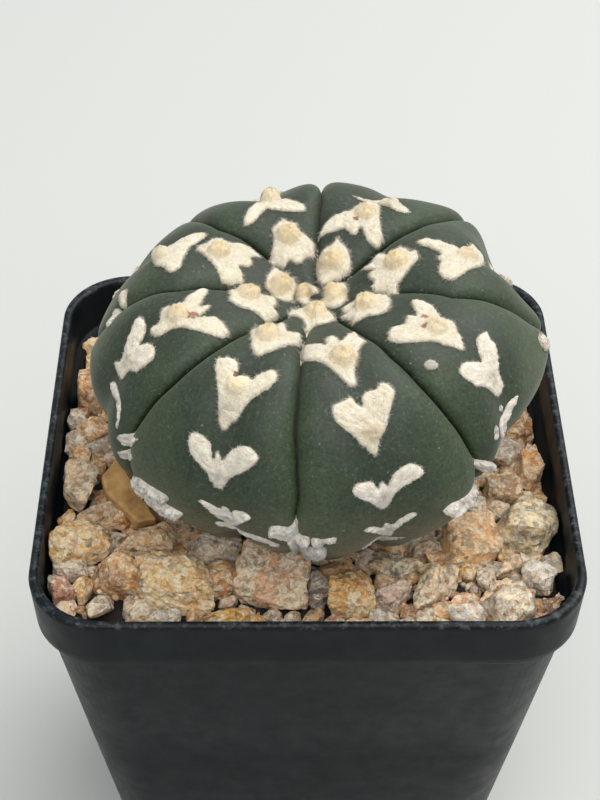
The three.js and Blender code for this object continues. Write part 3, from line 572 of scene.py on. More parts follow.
granite = Finish("granite_gravel")
shift = granite.moved(granite.marked("stone_shift", "Vector"))
veins = granite.span(granite.noise(3.4, 4, 0.6, 0.8, at=shift), 0.46, 0.56)
main_tone = granite.marked("stone_main", "Color")
body_tone = granite.mix(veins, main_tone, granite.marked("stone_patch", "Color"))
CLOUDS = [(1.3, 0.50, 0.78, "fbeed4"), (1.9, 0.56, 0.45, "8d8578"), (2.3, 0.56, 0.5, "b98a4e")]
for size, low, share, code in CLOUDS:
    grains = granite.noise(size, 6, 0.75, 0.6, at=shift)
    body_tone = granite.mix(granite.span(grains, low, low + 0.10, 0, share), body_tone, tone(code))
minerals = granite.cells(0.75, output="Color", at=granite.warped(shift, 0.5, 0.8))
GRAINS = [(0, 0.70, 0.45, "f8ecd2"), (1, 0.80, 0.5, "6a6054"), (2, 0.76, 0.4, "b87a40")]
for number, low, share, code in GRAINS:
    grains = granite.span(granite.channel(minerals, number), low, low + 0.10, 0, share)
    body_tone = granite.mix(grains, body_tone, tone(code))
shaken = granite.warped(shift, 0.5, 0.6)
crystals = granite.channel(granite.cells(0.55, output="Color", at=shaken), 0)
dim = granite.mix(1.0, body_tone, (0.70, 0.60, 0.48), "MULTIPLY")
body_tone = granite.mix(granite.span(crystals, 0.2, 0.95, 0, 0.35), body_tone, dim)
# painted shade: the stone is darkened where its fine relief dips, shade painted into its pits
fine = granite.noise(0.7, 6, 0.75, at=shift)
dim = granite.mix(1.0, body_tone, (0.42, 0.33, 0.24), "MULTIPLY")
body_tone = granite.mix(granite.span(fine, 0.41, 0.32, 0, 0.7), body_tone, dim)
rough = granite.relief(granite.cells(0.8, at=shaken), 0.38, granite.relief(granite.noise(0.22, 3), 0.07))
rough = granite.relief(granite.noise(1.3, 3, 0.5, 0.4, at=shift), 0.9, rough)
granite.set(Base_Color=body_tone, Roughness=granite.span(fine, 0.3, 0.7, 0.75, 0.42),
            Normal=granite.relief(fine, 0.42, rough))
for piece in (stones, more_stones, fill_stones, more_fill, grit_piece):
    piece.data.materials.append(granite.material)
for piece in (stones, more_stones, fill_stones, more_fill):
    piece.data.set_sharp_from_angle(angle=math.radians(38))

dark_bed = Finish("gravel_bed_grit")
crumbs = dark_bed.noise(0.8, 6, 0.7)
dark_bed.set(Base_Color=dark_bed.mix(dark_bed.span(crumbs, 0.4, 0.7), tone("120d09"), tone("33261b")),
             Roughness=0.95, Normal=dark_bed.relief(crumbs, 0.6))
bed.data.materials.append(dark_bed.material)
for piece in (stones, more_stones, chip, fill_stones, more_fill, grit_piece, bed):
    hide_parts("gravel_top_dressing")
    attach(piece, "root")


# Cactus body. One living stem: a low disc of eight broad ribs that meet in sharp furrows, with a
# waxy dark green skin, sunken a little at its crown and along each line of areoles.
BODY_SECTION = [
    (0, 22.4), (4, 22.8), (9, 24.4), (15, 26), (20.5, 25.6), (25.5, 22.6), (29.2, 17.5),
    (30.8, 12), (29.3, 6.5), (25, 1), (21.5, -3), (14.5, -6.5), (9, -10), (6.5, -13.5),
]
ROOT_SECTION = [(5.4, -16), (3.2, -32), (1.7, -49)]
BEARING_DISTANCES = (10, 18, 26, 36)
FURROWS = [
    (-98.5, -97, -96, -95), (-58, -58, -54.5, -47.5), (-3, -10, -4, 3), (43.5, 40.5, 42.5, 43),
    (87, 87, 87, 87), (131, 137.5, 134, 133), (181, 185.5, 183, 181), (228, 227.5, 223, 217.5),
]
AREOLE_LINES = [
    (-79, -78, -76, -73), (-31, -33, -34, -35.5), (21, 16, 17, 18), (67, 66, 64, 63),
    (106, 107, 107, 107), (150, 155, 158, 159), (200, 206, 203, 205), (244, 244.5, 245, 247.5),
]
# how much fuller or leaner each rib's flank is than the common section
RIB_SWELL = np.array([0.4, 0.4, -0.5, 0, 0, -0.6, 0, 0])
# single places where the body bulges or is leaner: bearing, distance, spread, reach and height
SWELLINGS = [
    (43, 31, 11, 5, 2.1), (23, 32, 12, 5, -1.9), (3, 36, 10, 5, 1.2),
    (-28, 37, 12, 5, -1.1), (108, 25, 14, 6, -1.5), (87, 23, 9, 6, 0.6),
]
ROUND_COLUMNS = 320
DOWN_ROWS = 200


def spline_through(knots, steps=160):
    """A smooth line through the knots."""
    knots = np.array(knots, dtype=float)
    line = []
    for i in range(len(knots) - 1):
        a, b, c, d = (knots[min(max(i + k, 0), len(knots) - 1)] for k in (-1, 0, 1, 2))
        t = np.linspace(0, 1, steps, endpoint=False)[:, None]
        m, n = (c - a) / 2, (d - b) / 2
        line.append((2 * b - 2 * c + m + n) * t ** 3 + (3 * c - 3 * b - 2 * m - n) * t ** 2 + m * t + b)
    return np.concatenate([*line, knots[-1:]])


section = spline_through(BODY_SECTION)
section_walk = np.concatenate([[0], np.cumsum(np.linalg.norm(np.diff(section, axis=0), axis=1))])
SECTION_LENGTH = section_walk[-1]
section_turn = np.gradient(section, section_walk, axis=0)
section_turn /= np.linalg.norm(section_turn, axis=1)[:, None]


def by_distance(table, distance):
    """Each rib's bearing at a distance down from the crown."""
    return np.stack([np.interp(distance, BEARING_DISTANCES, row) for row in table], -1)


def furrow_bearings(distance):
    """The eight furrows' bearings, each wandering a little from side to side on its way down."""
    walk = np.asarray(distance, float)[..., None]
    order = np.arange(8)
    return by_distance(FURROWS, distance) + 0.30 * np.sin(walk / 2.4 + order * 2.4) + 0.10 * np.sin(
        walk / 0.9 + order * 4.1)


def rib_place(bearing, distance):
    """Share of the way from areole line to furrow, that half rib's angle, and the rib's swell."""
    starts = furrow_bearings(distance)
    lines = by_distance(AREOLE_LINES, distance)
    turns = (starts - starts[..., :1]) % 360
    here = (bearing - starts[..., 0]) % 360
    rib = np.clip((here[..., None] >= turns).sum(-1) - 1, 0, 7)
    start = np.take_along_axis(turns, rib[..., None], -1)[..., 0]
    next_start = np.take_along_axis(turns, np.minimum(rib + 1, 7)[..., None], -1)[..., 0]
    end = np.where(rib == 7, 360.0, next_start)
    middle = np.take_along_axis((lines - starts[..., :1]) % 360, rib[..., None], -1)[..., 0]
    half = np.where(here < middle, middle - start, end - middle)
    return np.abs(here - middle) / half, half, RIB_SWELL[rib]


def body_point(distance, bearing, lift=0.0):
    """A spot on the body, lifted off its skin, with how far it is from areole line and furrow."""
    distance, bearing, lift = np.broadcast_arrays(
        np.asarray(distance, float), np.asarray(bearing, float), np.asarray(lift, float))
    walk = np.clip(distance, 0, SECTION_LENGTH)
    r = np.interp(walk, section_walk, section[:, 0])
    z = np.interp(walk, section_walk, section[:, 1])
    out_r = -np.interp(walk, section_walk, section_turn[:, 1])
    out_z = np.interp(walk, section_walk, section_turn[:, 0])
    share, half, swell = rib_place(bearing, walk)
    half_width = np.radians(half) * np.maximum(r, 0.3)
    to_furrow, to_line = (1 - share) * half_width, share * half_width
    crease = 1.3 * np.exp(-to_furrow / 0.9) * (1 - np.exp(-(r / 6) ** 2))
    valley = 0.9 * (1 - np.exp(-(r / 20) ** 4)) + 1.2 * np.clip((walk - 34) / 20, 0, 1)
    valley = valley * np.exp(-(to_line / 2.6) ** 2)
    # under its widest turn the body tucks in at its sides, and less at its back
    from_front = np.abs((bearing + 280) % 360 - 180)
    tuck = 6.5 * (smooth(from_front, 45, 70) - 0.55 * smooth(from_front, 112, 160)) * smooth(walk, 34, 46)
    fuller = swell * (1 - share ** 4) * smooth(walk, 18, 34)
    for middle, depth_down, spread, reach, height in SWELLINGS:
        aside = ((bearing - middle + 180) % 360 - 180) / spread
        fuller = fuller + height * np.exp(-aside ** 2 - ((walk - depth_down) / reach) ** 2)
    depth = (0.015 * r * share ** 2 + crease + valley + tuck - fuller) * (1 - smooth(walk, 58, 68)) - lift
    turn = (bearing - 152 + 540) % 360 - 180
    radius = np.maximum((r - depth * out_r) * (1 - 0.055 * np.exp(-(turn / 30) ** 2)), 0.02)
    angle = np.radians(bearing)
    place = np.stack([BODY_X + radius * np.cos(angle), BODY_Y + radius * np.sin(angle),
                      POT_HEIGHT + z - depth * out_z], -1)
    return place, to_line, to_furrow


body_bm = bmesh.new()
bmesh.ops.create_uvsphere(body_bm, u_segments=ROUND_COLUMNS, v_segments=DOWN_ROWS, radius=1)
ball, ball_faces = mesh_arrays(body_bm)
row_share = np.arccos(np.clip(ball[:, 2], -1, 1)) / math.pi
ball_turn = np.degrees(np.arctan2(ball[:, 1], ball[:, 0])) % 360
column = np.round(ball_turn * ROUND_COLUMNS / 360).astype(int) % ROUND_COLUMNS
ROOT_ROWS = 8
last_body_row = 1 - ROOT_ROWS / DOWN_ROWS
distance = np.clip(row_share / last_body_row, 0, 1) * SECTION_LENGTH
per_rib = ROUND_COLUMNS // 8
rib_index = column // per_rib
across = (column % per_rib) / (per_rib / 2)
before_line = across < 1
toward_furrow = np.abs(1 - across)
share_out = 1 - (1 - toward_furrow) ** 1.45
starts = furrow_bearings(distance)
lines = by_distance(AREOLE_LINES, distance)
chosen = np.take_along_axis
line_here = chosen(lines, rib_index[:, None], 1)[:, 0]
furrow_before = chosen(starts, rib_index[:, None], 1)[:, 0]
furrow_after = chosen(starts, ((rib_index + 1) % 8)[:, None], 1)[:, 0]
back = (line_here - furrow_before) % 360
forward = (furrow_after - line_here) % 360
bearing = line_here + np.where(before_line, -share_out * back, share_out * forward)
to_line, to_furrow = body_point(distance, bearing)[1:]
slit = 0.45 * np.exp(-to_furrow / 0.25) * np.clip(distance / 8, 0, 1) * np.clip((56 - distance) / 8, 0, 1)
skin_points = body_point(distance, bearing, -slit)[0]
below = row_share > last_body_row
root_share = np.clip((row_share - last_body_row) / (1 - last_body_row), 0, 1)
root_line = spline_through([BODY_SECTION[-1], *ROOT_SECTION])
root_at = np.linspace(0, 1, len(root_line))
root_r = np.interp(root_share, root_at, root_line[:, 0]) * np.where(root_share > 0.995, 0.02, 1)
root_z = np.interp(root_share, root_at, root_line[:, 1])
root_angle = np.radians(bearing)
skin_points[below] = np.stack([BODY_X + root_r * np.cos(root_angle), BODY_Y + root_r * np.sin(root_angle),
                               POT_HEIGHT + root_z], -1)[below]
streak = np.stack([bearing / 10, distance / 10, np.zeros_like(distance)], -1)
body = joined("cactus_body", [(skin_points, ball_faces, {
    "from_line": to_line, "from_furrow": to_furrow, "down": distance, "skin_grid": streak})])

skin = Finish("cactus_skin")
from_line = skin.marked("from_line")
from_furrow = skin.marked("from_furrow")
down = skin.marked("down")
cloud = skin.noise(6, 4, 0.6)
flesh = skin.mix(skin.span(cloud, 0.3, 0.7), tone("232f21"), tone("313f29"))
shaded = skin.sum("MULTIPLY", skin.span(from_line, 1.0, 7.0, 0.85, 0.0), skin.span(down, 20, 38, 1, 0.45))
shaded = skin.sum("MULTIPLY", shaded, skin.span(skin.noise(4, 4, 0.6), 0.2, 0.7, 0.4, 1.0))
flesh = skin.mix(shaded, flesh, tone("19211a"))
flank = skin.sum("MULTIPLY", skin.span(from_line, 4.5, 8.5), skin.span(down, 22, 34, 0.05, 0.2))
flesh = skin.mix(flank, flesh, tone("4a573b"))
grid = skin.marked("skin_grid", "Vector")
streaks = skin.nodes.new("ShaderNodeTexNoise")
streak_place = skin.nodes.new("ShaderNodeMapping")
skin.links.new(grid, streak_place.inputs["Vector"])
streak_place.inputs["Scale"].default_value = (9, 2.4, 1)
skin.links.new(streak_place.outputs[0], streaks.inputs["Vector"])
streaks.inputs["Scale"].default_value = 1.0
streaks.inputs["Detail"].default_value = 6
flesh = skin.mix(skin.span(streaks.outputs["Fac"], 0.5, 0.75, 0, 0.14), flesh, tone("4c5a40"))
aged_skin = skin.span(skin.noise(5, 4, 0.6), 0.35, 0.6, 0.45, 1)
aged_skin = skin.sum("MULTIPLY", skin.span(down, 36, 48, 0, 0.8), aged_skin)
flesh = skin.mix(aged_skin, flesh, tone("6a644e"))
green = skin.sum("MULTIPLY", skin.span(from_furrow, 0.1, 0.9, 1, 0), skin.span(down, 24, 34))
green = skin.sum("MULTIPLY", green, skin.span(skin.noise(7, 2), 0.35, 0.6, 0.3, 1))
flesh = skin.mix(green, flesh, tone("284a10"))
# painted shade: the skin turns near black along each furrow's crease
flesh = skin.mix(skin.span(from_furrow, 0.16, 0.42, 1.0, 0), flesh, tone("091703"))
mottle = skin.noise(0.4, 4, 0.65)
dim = skin.mix(1.0, flesh, (0.45, 0.48, 0.45), "MULTIPLY")
flesh = skin.mix(skin.span(mottle, 0.54, 0.36, 0, 0.8), flesh, dim)
bloom = skin.noise(0.55, 4, 0.7)
flesh = skin.mix(skin.span(bloom, 0.55, 0.72, 0, 0.3), flesh, tone("66705e"))
flecks = skin.span(skin.noise(0.45, 2, 0.5), 0.70, 0.78, 0, 0.5)
flesh = skin.mix(flecks, flesh, tone("8d9884"))
skin.set(Base_Color=flesh, Roughness=skin.span(cloud, 0.3, 0.7, 0.5, 0.62),
         Normal=skin.relief(skin.noise(0.5, 3), 0.04, skin.relief(skin.noise(2.4, 3), 0.12)))
skin.shader.inputs["Specular IOR Level"].default_value = 0.35
skin.shader.inputs["Sheen Weight"].default_value = 0.14
skin.shader.inputs["Sheen Roughness"].default_value = 0.5
skin.shader.inputs["Sheen Tint"].default_value = (0.78, 0.8, 0.62, 1)
body.data.materials.append(skin.material)
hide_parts("star_cactus")
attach(body, "root")


# Areole wool. Each areole grows a tuft of dense wool that opens into a V of felt: yellow and
# fluffy on the young ones by the crown, white and then grey and flat on the old ones lower down.
# What the photo shows of it, in the photo's pixels: the tuft's place, its youth, and the outline.
SEEN_WOOL = {
    "A1": (268, 333, 1, [
        (251, 324), (258, 320), (270, 322), (275, 324), (279, 319), (287, 320), (287, 327),
        (292, 328), (302, 329), (302, 343), (296, 341), (286, 342), (276, 346), (265, 350),
        (258, 354), (251, 347), (250, 338),
    ]),
    "A2": (222, 408, 0.6, [
        (213, 358), (217, 354), (228, 353), (237, 355), (239, 362), (238, 371), (233, 375),
        (241, 372), (247, 371), (252, 377), (255, 372), (264, 367), (273, 366), (279, 371),
        (278, 378), (270, 386), (257, 394), (248, 401), (240, 413), (236, 420), (230, 424),
        (225, 431), (219, 431), (216, 421), (215, 408), (216, 394), (214, 378),
    ]),
    "A3": (217, 476, 0.25, [
        (184, 444), (186, 435), (190, 431), (197, 433), (204, 437), (209, 443), (211, 452),
        (210, 461), (212, 454), (216, 451), (219, 455), (220, 461), (226, 452), (235, 446),
        (244, 445), (252, 448), (259, 457), (257, 464), (247, 472), (236, 477), (227, 482),
        (224, 488), (219, 493), (213, 491), (208, 484), (203, 475), (197, 467), (190, 459),
        (185, 451),
    ]),
    "A4": (227, 522, 0, [
        (194, 503), (200, 502), (209, 507), (217, 512), (220, 509), (227, 512), (229, 517),
        (231, 513), (238, 513), (246, 516), (252, 523), (244, 526), (236, 530), (228, 531),
        (223, 526), (214, 521), (205, 515), (199, 508),
    ]),
    "A5": (262, 545, 0, [
        (209, 526), (221, 527), (234, 532), (246, 537), (258, 541), (269, 545), (281, 550),
        (277, 552), (262, 546), (243, 539), (223, 532),
    ]),
    "B1": (249, 292, 1, [
        (229, 287), (235, 285), (242, 283), (250, 282), (259, 282), (262, 289), (268, 292),
        (277, 294), (280, 300), (275, 304), (281, 313), (275, 317), (270, 319), (265, 316),
        (260, 311), (253, 306), (245, 304), (238, 302), (233, 298), (229, 296), (231, 291),
    ]),
    "B2": (178, 312, 0.8, [
        (147, 331), (150, 324), (157, 319), (158, 309), (164, 303), (175, 302), (181, 299),
        (186, 293), (194, 288), (202, 285), (211, 286), (207, 292), (203, 299), (200, 303),
        (208, 300), (212, 302), (208, 307), (202, 311), (198, 314), (207, 312), (216, 313),
        (224, 318), (230, 327), (230, 333), (224, 335), (214, 333), (203, 329), (192, 326),
        (180, 324), (169, 326), (161, 332), (153, 335),
    ]),
    "B3": (127, 358, 0.35, [
        (139, 313), (144, 318), (144, 328), (141, 336), (136, 343), (142, 341), (148, 340),
        (154, 345), (153, 354), (147, 361), (139, 367), (131, 373), (126, 369), (121, 375),
        (118, 380), (113, 374), (110, 366), (110, 360), (117, 359), (120, 347), (124, 335),
        (129, 323), (134, 315),
    ]),
    "B4": (114, 400, 0.05, [
        (105, 382), (110, 379), (114, 387), (116, 397), (118, 406), (116, 418), (114, 430),
        (111, 430), (112, 418), (113, 406), (109, 396), (106, 389),
    ]),
    "C1": (282, 283, 1, [
        (266, 278), (269, 270), (276, 264), (283, 267), (290, 271), (298, 277), (299, 287),
        (297, 299), (288, 298), (280, 296), (272, 289), (266, 284),
    ]),
    "C2": (219, 249, 0.9, [
        (195, 247), (197, 241), (204, 240), (208, 238), (213, 235), (218, 234), (226, 236),
        (229, 239), (240, 240), (249, 243), (254, 247), (266, 256), (252, 254), (255, 261),
        (249, 265), (240, 262), (244, 269), (246, 278), (244, 281), (224, 282), (221, 275),
        (218, 268), (213, 260), (206, 254), (201, 249),
    ]),
    "C3": (160, 253, 0.5, [
        (208, 229), (206, 234), (199, 238), (191, 242), (188, 247), (186, 251), (183, 256),
        (182, 262), (175, 268), (167, 269), (161, 263), (152, 263), (151, 256), (157, 249),
        (160, 246), (163, 246), (172, 240), (182, 234), (193, 229),
    ]),
    "D1": (288, 233, 1, [
        (271, 226), (277, 220), (284, 214), (290, 219), (297, 220), (303, 230), (311, 237),
        (316, 242), (315, 258), (308, 254), (303, 261), (296, 262), (290, 257), (286, 267),
        (279, 263), (271, 260), (272, 247), (275, 237),
    ]),
    "D2": (270, 197, 0.7, [
        (257, 199), (250, 203), (245, 210), (243, 219), (245, 224), (251, 222), (257, 217),
        (262, 210), (267, 205), (272, 206), (279, 207), (288, 208), (298, 209), (306, 209),
        (307, 204), (303, 200), (295, 197), (287, 195), (280, 195), (274, 196), (266, 197),
    ]),
    "E1": (332, 259, 1, [
        (337, 233), (341, 240), (348, 245), (351, 256), (351, 268), (346, 274), (337, 278),
        (328, 280), (321, 283), (318, 276), (316, 264), (319, 252), (325, 245), (333, 241),
    ]),
    "E2": (366, 210, 0.8, [
        (318, 236), (322, 225), (328, 217), (336, 211), (345, 208), (352, 206), (356, 202),
        (364, 198), (378, 198), (381, 203), (380, 216), (382, 228), (384, 239), (381, 243),
        (377, 246), (373, 245), (367, 239), (363, 232), (360, 224), (358, 230), (354, 233),
        (349, 231), (345, 226), (340, 227), (332, 230), (325, 232),
    ]),
    "E3": (390, 199, 0.4, [
        (351, 190), (360, 193), (370, 196), (380, 197), (387, 195), (391, 195), (398, 197),
        (405, 202), (412, 207), (410, 210), (402, 209), (394, 206), (386, 202), (376, 200),
        (366, 198), (356, 194),
    ]),
    "F1": (396, 259, 1, [
        (357, 268), (371, 260), (371, 256), (376, 252), (383, 251), (390, 250), (393, 246),
        (399, 242), (406, 245), (410, 248), (416, 246), (420, 253), (411, 263), (405, 270),
        (401, 276), (396, 284), (393, 291), (384, 290), (374, 290), (369, 284), (373, 278),
        (368, 276), (367, 271), (373, 267),
    ]),
    "F2": (468, 254, 0.8, [
        (415, 239), (420, 236), (427, 234), (437, 236), (447, 239), (457, 242), (463, 247),
        (467, 245), (471, 240), (475, 240), (479, 245), (484, 250), (487, 258), (485, 263),
        (478, 264), (472, 266), (465, 270), (458, 275), (452, 277), (443, 275), (438, 270),
        (437, 262), (441, 258), (435, 254), (441, 250), (436, 247), (428, 244), (421, 242),
    ]),
    "G1": (366, 301, 1, [
        (339, 314), (347, 309), (341, 308), (341, 304), (347, 300), (354, 298), (359, 295),
        (362, 291), (370, 288), (377, 292), (386, 291), (390, 296), (390, 303), (384, 309),
        (375, 311), (366, 312), (360, 316), (355, 317), (351, 322), (350, 316), (344, 316),
    ]),
    "G2": (436, 325, 0.7, [
        (386, 333), (389, 325), (396, 321), (405, 320), (404, 314), (409, 311), (417, 313),
        (411, 303), (409, 297), (415, 295), (424, 297), (432, 300), (438, 308), (443, 314),
        (451, 315), (457, 320), (461, 329), (465, 338), (468, 348), (462, 348), (455, 344),
        (447, 343), (438, 339), (427, 338), (412, 339), (399, 340), (389, 338),
    ]),
    "G3": (493, 374, 0.3, [
        (478, 335), (482, 330), (488, 328), (492, 332), (495, 338), (499, 342), (502, 352),
        (503, 364), (503, 372), (507, 380), (508, 387), (505, 394), (502, 398), (498, 395),
        (493, 389), (485, 386), (480, 387), (475, 382), (468, 378), (463, 374), (460, 368),
        (463, 361), (468, 358), (477, 359), (485, 359), (481, 352), (479, 344),
    ]),
    "G4": (508, 424, 0, [
        (524, 393), (521, 404), (515, 416), (511, 424), (509, 433), (508, 441), (505, 440),
        (504, 434), (503, 427), (504, 418), (508, 411), (511, 403), (518, 396),
    ]),
    "G4b": (505, 409, 0, [
        (504, 404), (507, 405), (507, 411), (505, 413), (503, 411), (503, 407),
    ]),
    "G4c": (500, 433, 0, [
        (499, 425), (502, 425), (503, 431), (503, 441), (499, 442), (497, 438), (498, 431),
    ]),
    "Gd": (432, 362, 0.2, [
        (424, 361), (429, 356), (436, 357), (442, 363), (437, 368), (430, 368), (426, 365),
    ]),
    "H0": (316, 310, 1, [
        (288, 309), (291, 305), (299, 303), (308, 301), (318, 301), (326, 304), (331, 309),
        (337, 315), (330, 318), (321, 320), (312, 323), (303, 326), (306, 318), (300, 313),
        (293, 312),
    ]),
    "H1": (343, 355, 0.95, [
        (301, 350), (305, 342), (312, 340), (320, 339), (325, 342), (325, 334), (330, 331),
        (336, 332), (340, 338), (344, 333), (349, 329), (355, 328), (360, 333), (367, 338),
        (360, 344), (359, 352), (357, 362), (356, 372), (359, 382), (354, 386), (348, 383),
        (342, 376), (335, 370), (327, 362), (318, 358), (309, 357), (302, 358),
    ]),
    "H2": (374, 430, 0.55, [
        (331, 407), (334, 401), (343, 399), (348, 393), (353, 395), (358, 402), (363, 405),
        (361, 396), (367, 387), (375, 387), (379, 381), (385, 379), (392, 382), (397, 388),
        (396, 397), (392, 413), (388, 430), (383, 439), (381, 449), (379, 457), (374, 458),
        (368, 451), (360, 445), (358, 439), (348, 433), (338, 424), (332, 415),
    ]),
    "H3": (385, 498, 0.15, [
        (352, 491), (357, 484), (366, 483), (371, 481), (376, 484), (380, 491), (380, 485),
        (384, 482), (389, 487), (391, 482), (395, 474), (402, 468), (412, 463), (419, 465),
        (427, 469), (427, 477), (417, 483), (404, 491), (397, 498), (392, 508), (386, 513),
        (379, 512), (373, 507), (364, 503), (355, 500),
    ]),
    "H4": (390, 533, 0, [
        (363, 536), (370, 530), (379, 530), (384, 533), (385, 527), (389, 525), (393, 530),
        (402, 522), (411, 516), (419, 515), (420, 519), (410, 525), (401, 531), (397, 535),
        (394, 540), (384, 540), (374, 537),
    ]),
    "H5": (386, 543, 0, [
        (358, 556), (372, 548), (389, 542), (398, 542), (411, 542), (400, 543), (391, 544),
        (381, 546), (362, 556),
    ]),
    "T1": (306, 291, 1, [
        (297, 296), (297, 287), (302, 281), (309, 280), (315, 284), (318, 292), (316, 298),
        (308, 301), (301, 300),
    ]),
    "T2": (334, 292, 1, [
        (321, 292), (326, 284), (334, 279), (342, 279), (347, 285), (346, 294), (341, 302),
        (333, 305), (325, 303), (320, 298),
    ]),
    "FA": (284, 536, 0, [
        (267, 531), (275, 529), (285, 531), (292, 530), (298, 525), (297, 533), (299, 539),
        (296, 545), (290, 549), (284, 544), (279, 541), (271, 539), (267, 540),
    ]),
    "FB": (298, 545, 0, [
        (285, 541), (299, 539), (308, 541), (312, 545), (306, 549), (295, 551), (288, 549),
    ]),
    "FC": (323, 545, 0, [
        (310, 548), (311, 542), (320, 544), (330, 543), (338, 541), (337, 547), (331, 546),
        (322, 549), (313, 551),
    ]),
    "FD": (308, 555, 0, [
        (288, 551), (300, 547), (313, 551), (325, 552), (328, 556), (324, 560), (307, 561),
        (296, 558),
    ]),
    "FL": (122, 440, 0, [
        (111, 438), (117, 434), (123, 434), (131, 438), (136, 440), (130, 444), (127, 450),
        (120, 449), (114, 445),
    ]),
    "FL2": (120, 458, 0, [
        (112, 454), (118, 452), (126, 453), (129, 458), (128, 464), (122, 464), (115, 459),
    ]),
    "FR": (486, 468, 0, [
        (478, 464), (484, 462), (492, 462), (497, 465), (490, 471), (484, 474), (479, 471),
    ]),
    "SL": (150, 497, 0, [
        (127, 478), (134, 479), (142, 486), (152, 492), (160, 496), (167, 503), (160, 506),
        (170, 512), (183, 519), (176, 522), (163, 517), (151, 510), (138, 496), (131, 488),
    ]),
    "SR": (470, 505, 0, [
        (493, 484), (486, 488), (484, 498), (479, 498), (471, 505), (463, 512), (452, 518),
        (444, 517), (452, 508), (462, 504), (471, 498), (479, 490), (486, 487),
    ]),
    "SRa": (488, 470, 0, [
        (477, 464), (483, 462), (492, 462), (499, 465), (500, 470), (496, 474), (490, 473),
        (484, 474), (479, 470),
    ]),
    "SRb": (492, 479, 0, [
        (500, 467), (500, 474), (496, 479), (490, 483), (481, 484), (481, 480), (488, 478),
        (494, 473),
    ]),
}
# Small patches at the edge, where the photo looks along the skin: the tuft's distance down from
# the crown, bearing and youth, and the outline as steps down and across from the tuft.
EDGE_WOOL = {
    "F3": (27.8, 11, 0.3, [
        (-1.5, -0.2), (-0.4, -0.8), (0.8, -0.8), (1.6, 0.1), (0.6, 1.1), (-1.0, 0.9),
    ]),
    "SBa": (27.2, 179, 0.3, [
        (-0.8, -1.3), (0.3, -1.5), (0.8, -0.2), (0.6, 1.4), (-0.4, 1.6), (-0.9, 0.2),
    ]),
    "SBb": (29.0, -176, 0.1, [
        (-0.9, -1.6), (0.6, -2.1), (1.4, -0.4), (1.2, 1.2), (0.2, 2.0), (-1.0, 1.3), (-1.3, -0.2),
    ]),
    "SG": (33.2, -6, 0.3, [
        (-1.3, -0.8), (0.2, -1.4), (1.4, -0.6), (1.6, 0.9), (0.6, 1.6), (-0.9, 1.0),
    ]),
}
PHOTO_MIDDLE = (300, 400)
PHOTO_HEIGHT = 800
FOCAL_PIXELS = camera.data.lens / camera.data.sensor_width * PHOTO_HEIGHT
WOOL_LIFT = 0.7
wool_points = body_point(distance, bearing, WOOL_LIFT)[0]
wool_skin = BVHTree.FromPolygons([Vector(point) for point in wool_points], ball_faces)


def seen_at(x, y):
    """Distance and bearing of the wool that shows at a pixel of the photo, or for a pixel just past
    the body's edge, of the wool that is nearest to it."""
    aside = right * (x - PHOTO_MIDDLE[0]) + up * (PHOTO_MIDDLE[1] - y)
    sight = (ahead * FOCAL_PIXELS + aside).normalized()
    spot, _, face, _ = wool_skin.ray_cast(CAMERA_PLACE, sight)
    if face is None:
        way = np.array(sight)
        from_camera = wool_points - np.array(CAMERA_PLACE)
        reach = from_camera @ way
        gap = np.linalg.norm(from_camera - reach[:, None] * way, axis=1)
        spot, _, face, _ = wool_skin.find_nearest(CAMERA_PLACE + sight * reach[gap.argmin()])
    corners = ball_faces[face]
    shares = poly_3d_calc([Vector(wool_points[i]) for i in corners], spot)
    around = math.degrees(math.atan2(spot.y - BODY_Y, spot.x - BODY_X))
    return float(np.dot(shares, distance[corners])), around


def patch_radius(distance):
    """The radius on which steps across a patch are measured."""
    return np.maximum(np.interp(distance, section_walk, section[:, 0]), 2.0)


def on_body(x, y, youth, outline):
    """A patch as steps on the body, from its pixels."""
    down_at, round_at = seen_at(x, y)
    steps = []
    for corner in outline:
        at, spin = seen_at(*corner)
        turn = math.radians((spin - round_at + 180) % 360 - 180)
        steps.append((at - down_at, turn * patch_radius(at)))
    return down_at, round_at, youth, steps


def patch_order(name):
    """Areoles rib by rib, then the felt at the ribs' feet and sides, whose names are two capitals."""
    return name[:2].isalpha() and name[:2].isupper(), name


seen_patches = {name: on_body(*row) for name, row in SEEN_WOOL.items()}
seen_patches.update(EDGE_WOOL)
WOOL_PATCHES = {name: seen_patches[name] for name in sorted(seen_patches, key=patch_order)}
# The patches behind, as plain Vs: distance, bearing, youth, reach up, reach to each side, point,
# lobe and width of a wing
BACK_WOOL = [
    (31.8, 19, 0.4, 2.4, 3.3, 3.0, 1.4, 2.0), (38.5, 19, 0.1, 1.9, 3.4, 2.2, 1.0, 1.8),
    (33.0, 63, 0.3, 2.4, 3.8, 3.0, 1.2, 2.0), (40.0, 63, 0.0, 1.5, 3.2, 1.6, 0.8, 1.4),
    (31.5, 107, 0.4, 2.6, 3.8, 3.2, 1.4, 2.1), (38.5, 107, 0.1, 1.8, 3.4, 2.0, 0.9, 1.7),
    (34.5, 159, 0.3, 2.4, 3.8, 3.0, 1.2, 2.0), (41.0, 159, 0.0, 1.5, 3.2, 1.6, 0.8, 1.4),
    (43.5, 18, 0.0, 1.2, 3.2, 1.4, 0.8, 1.3), (44.5, 107, 0.0, 1.2, 3.0, 1.4, 0.8, 1.3),
]
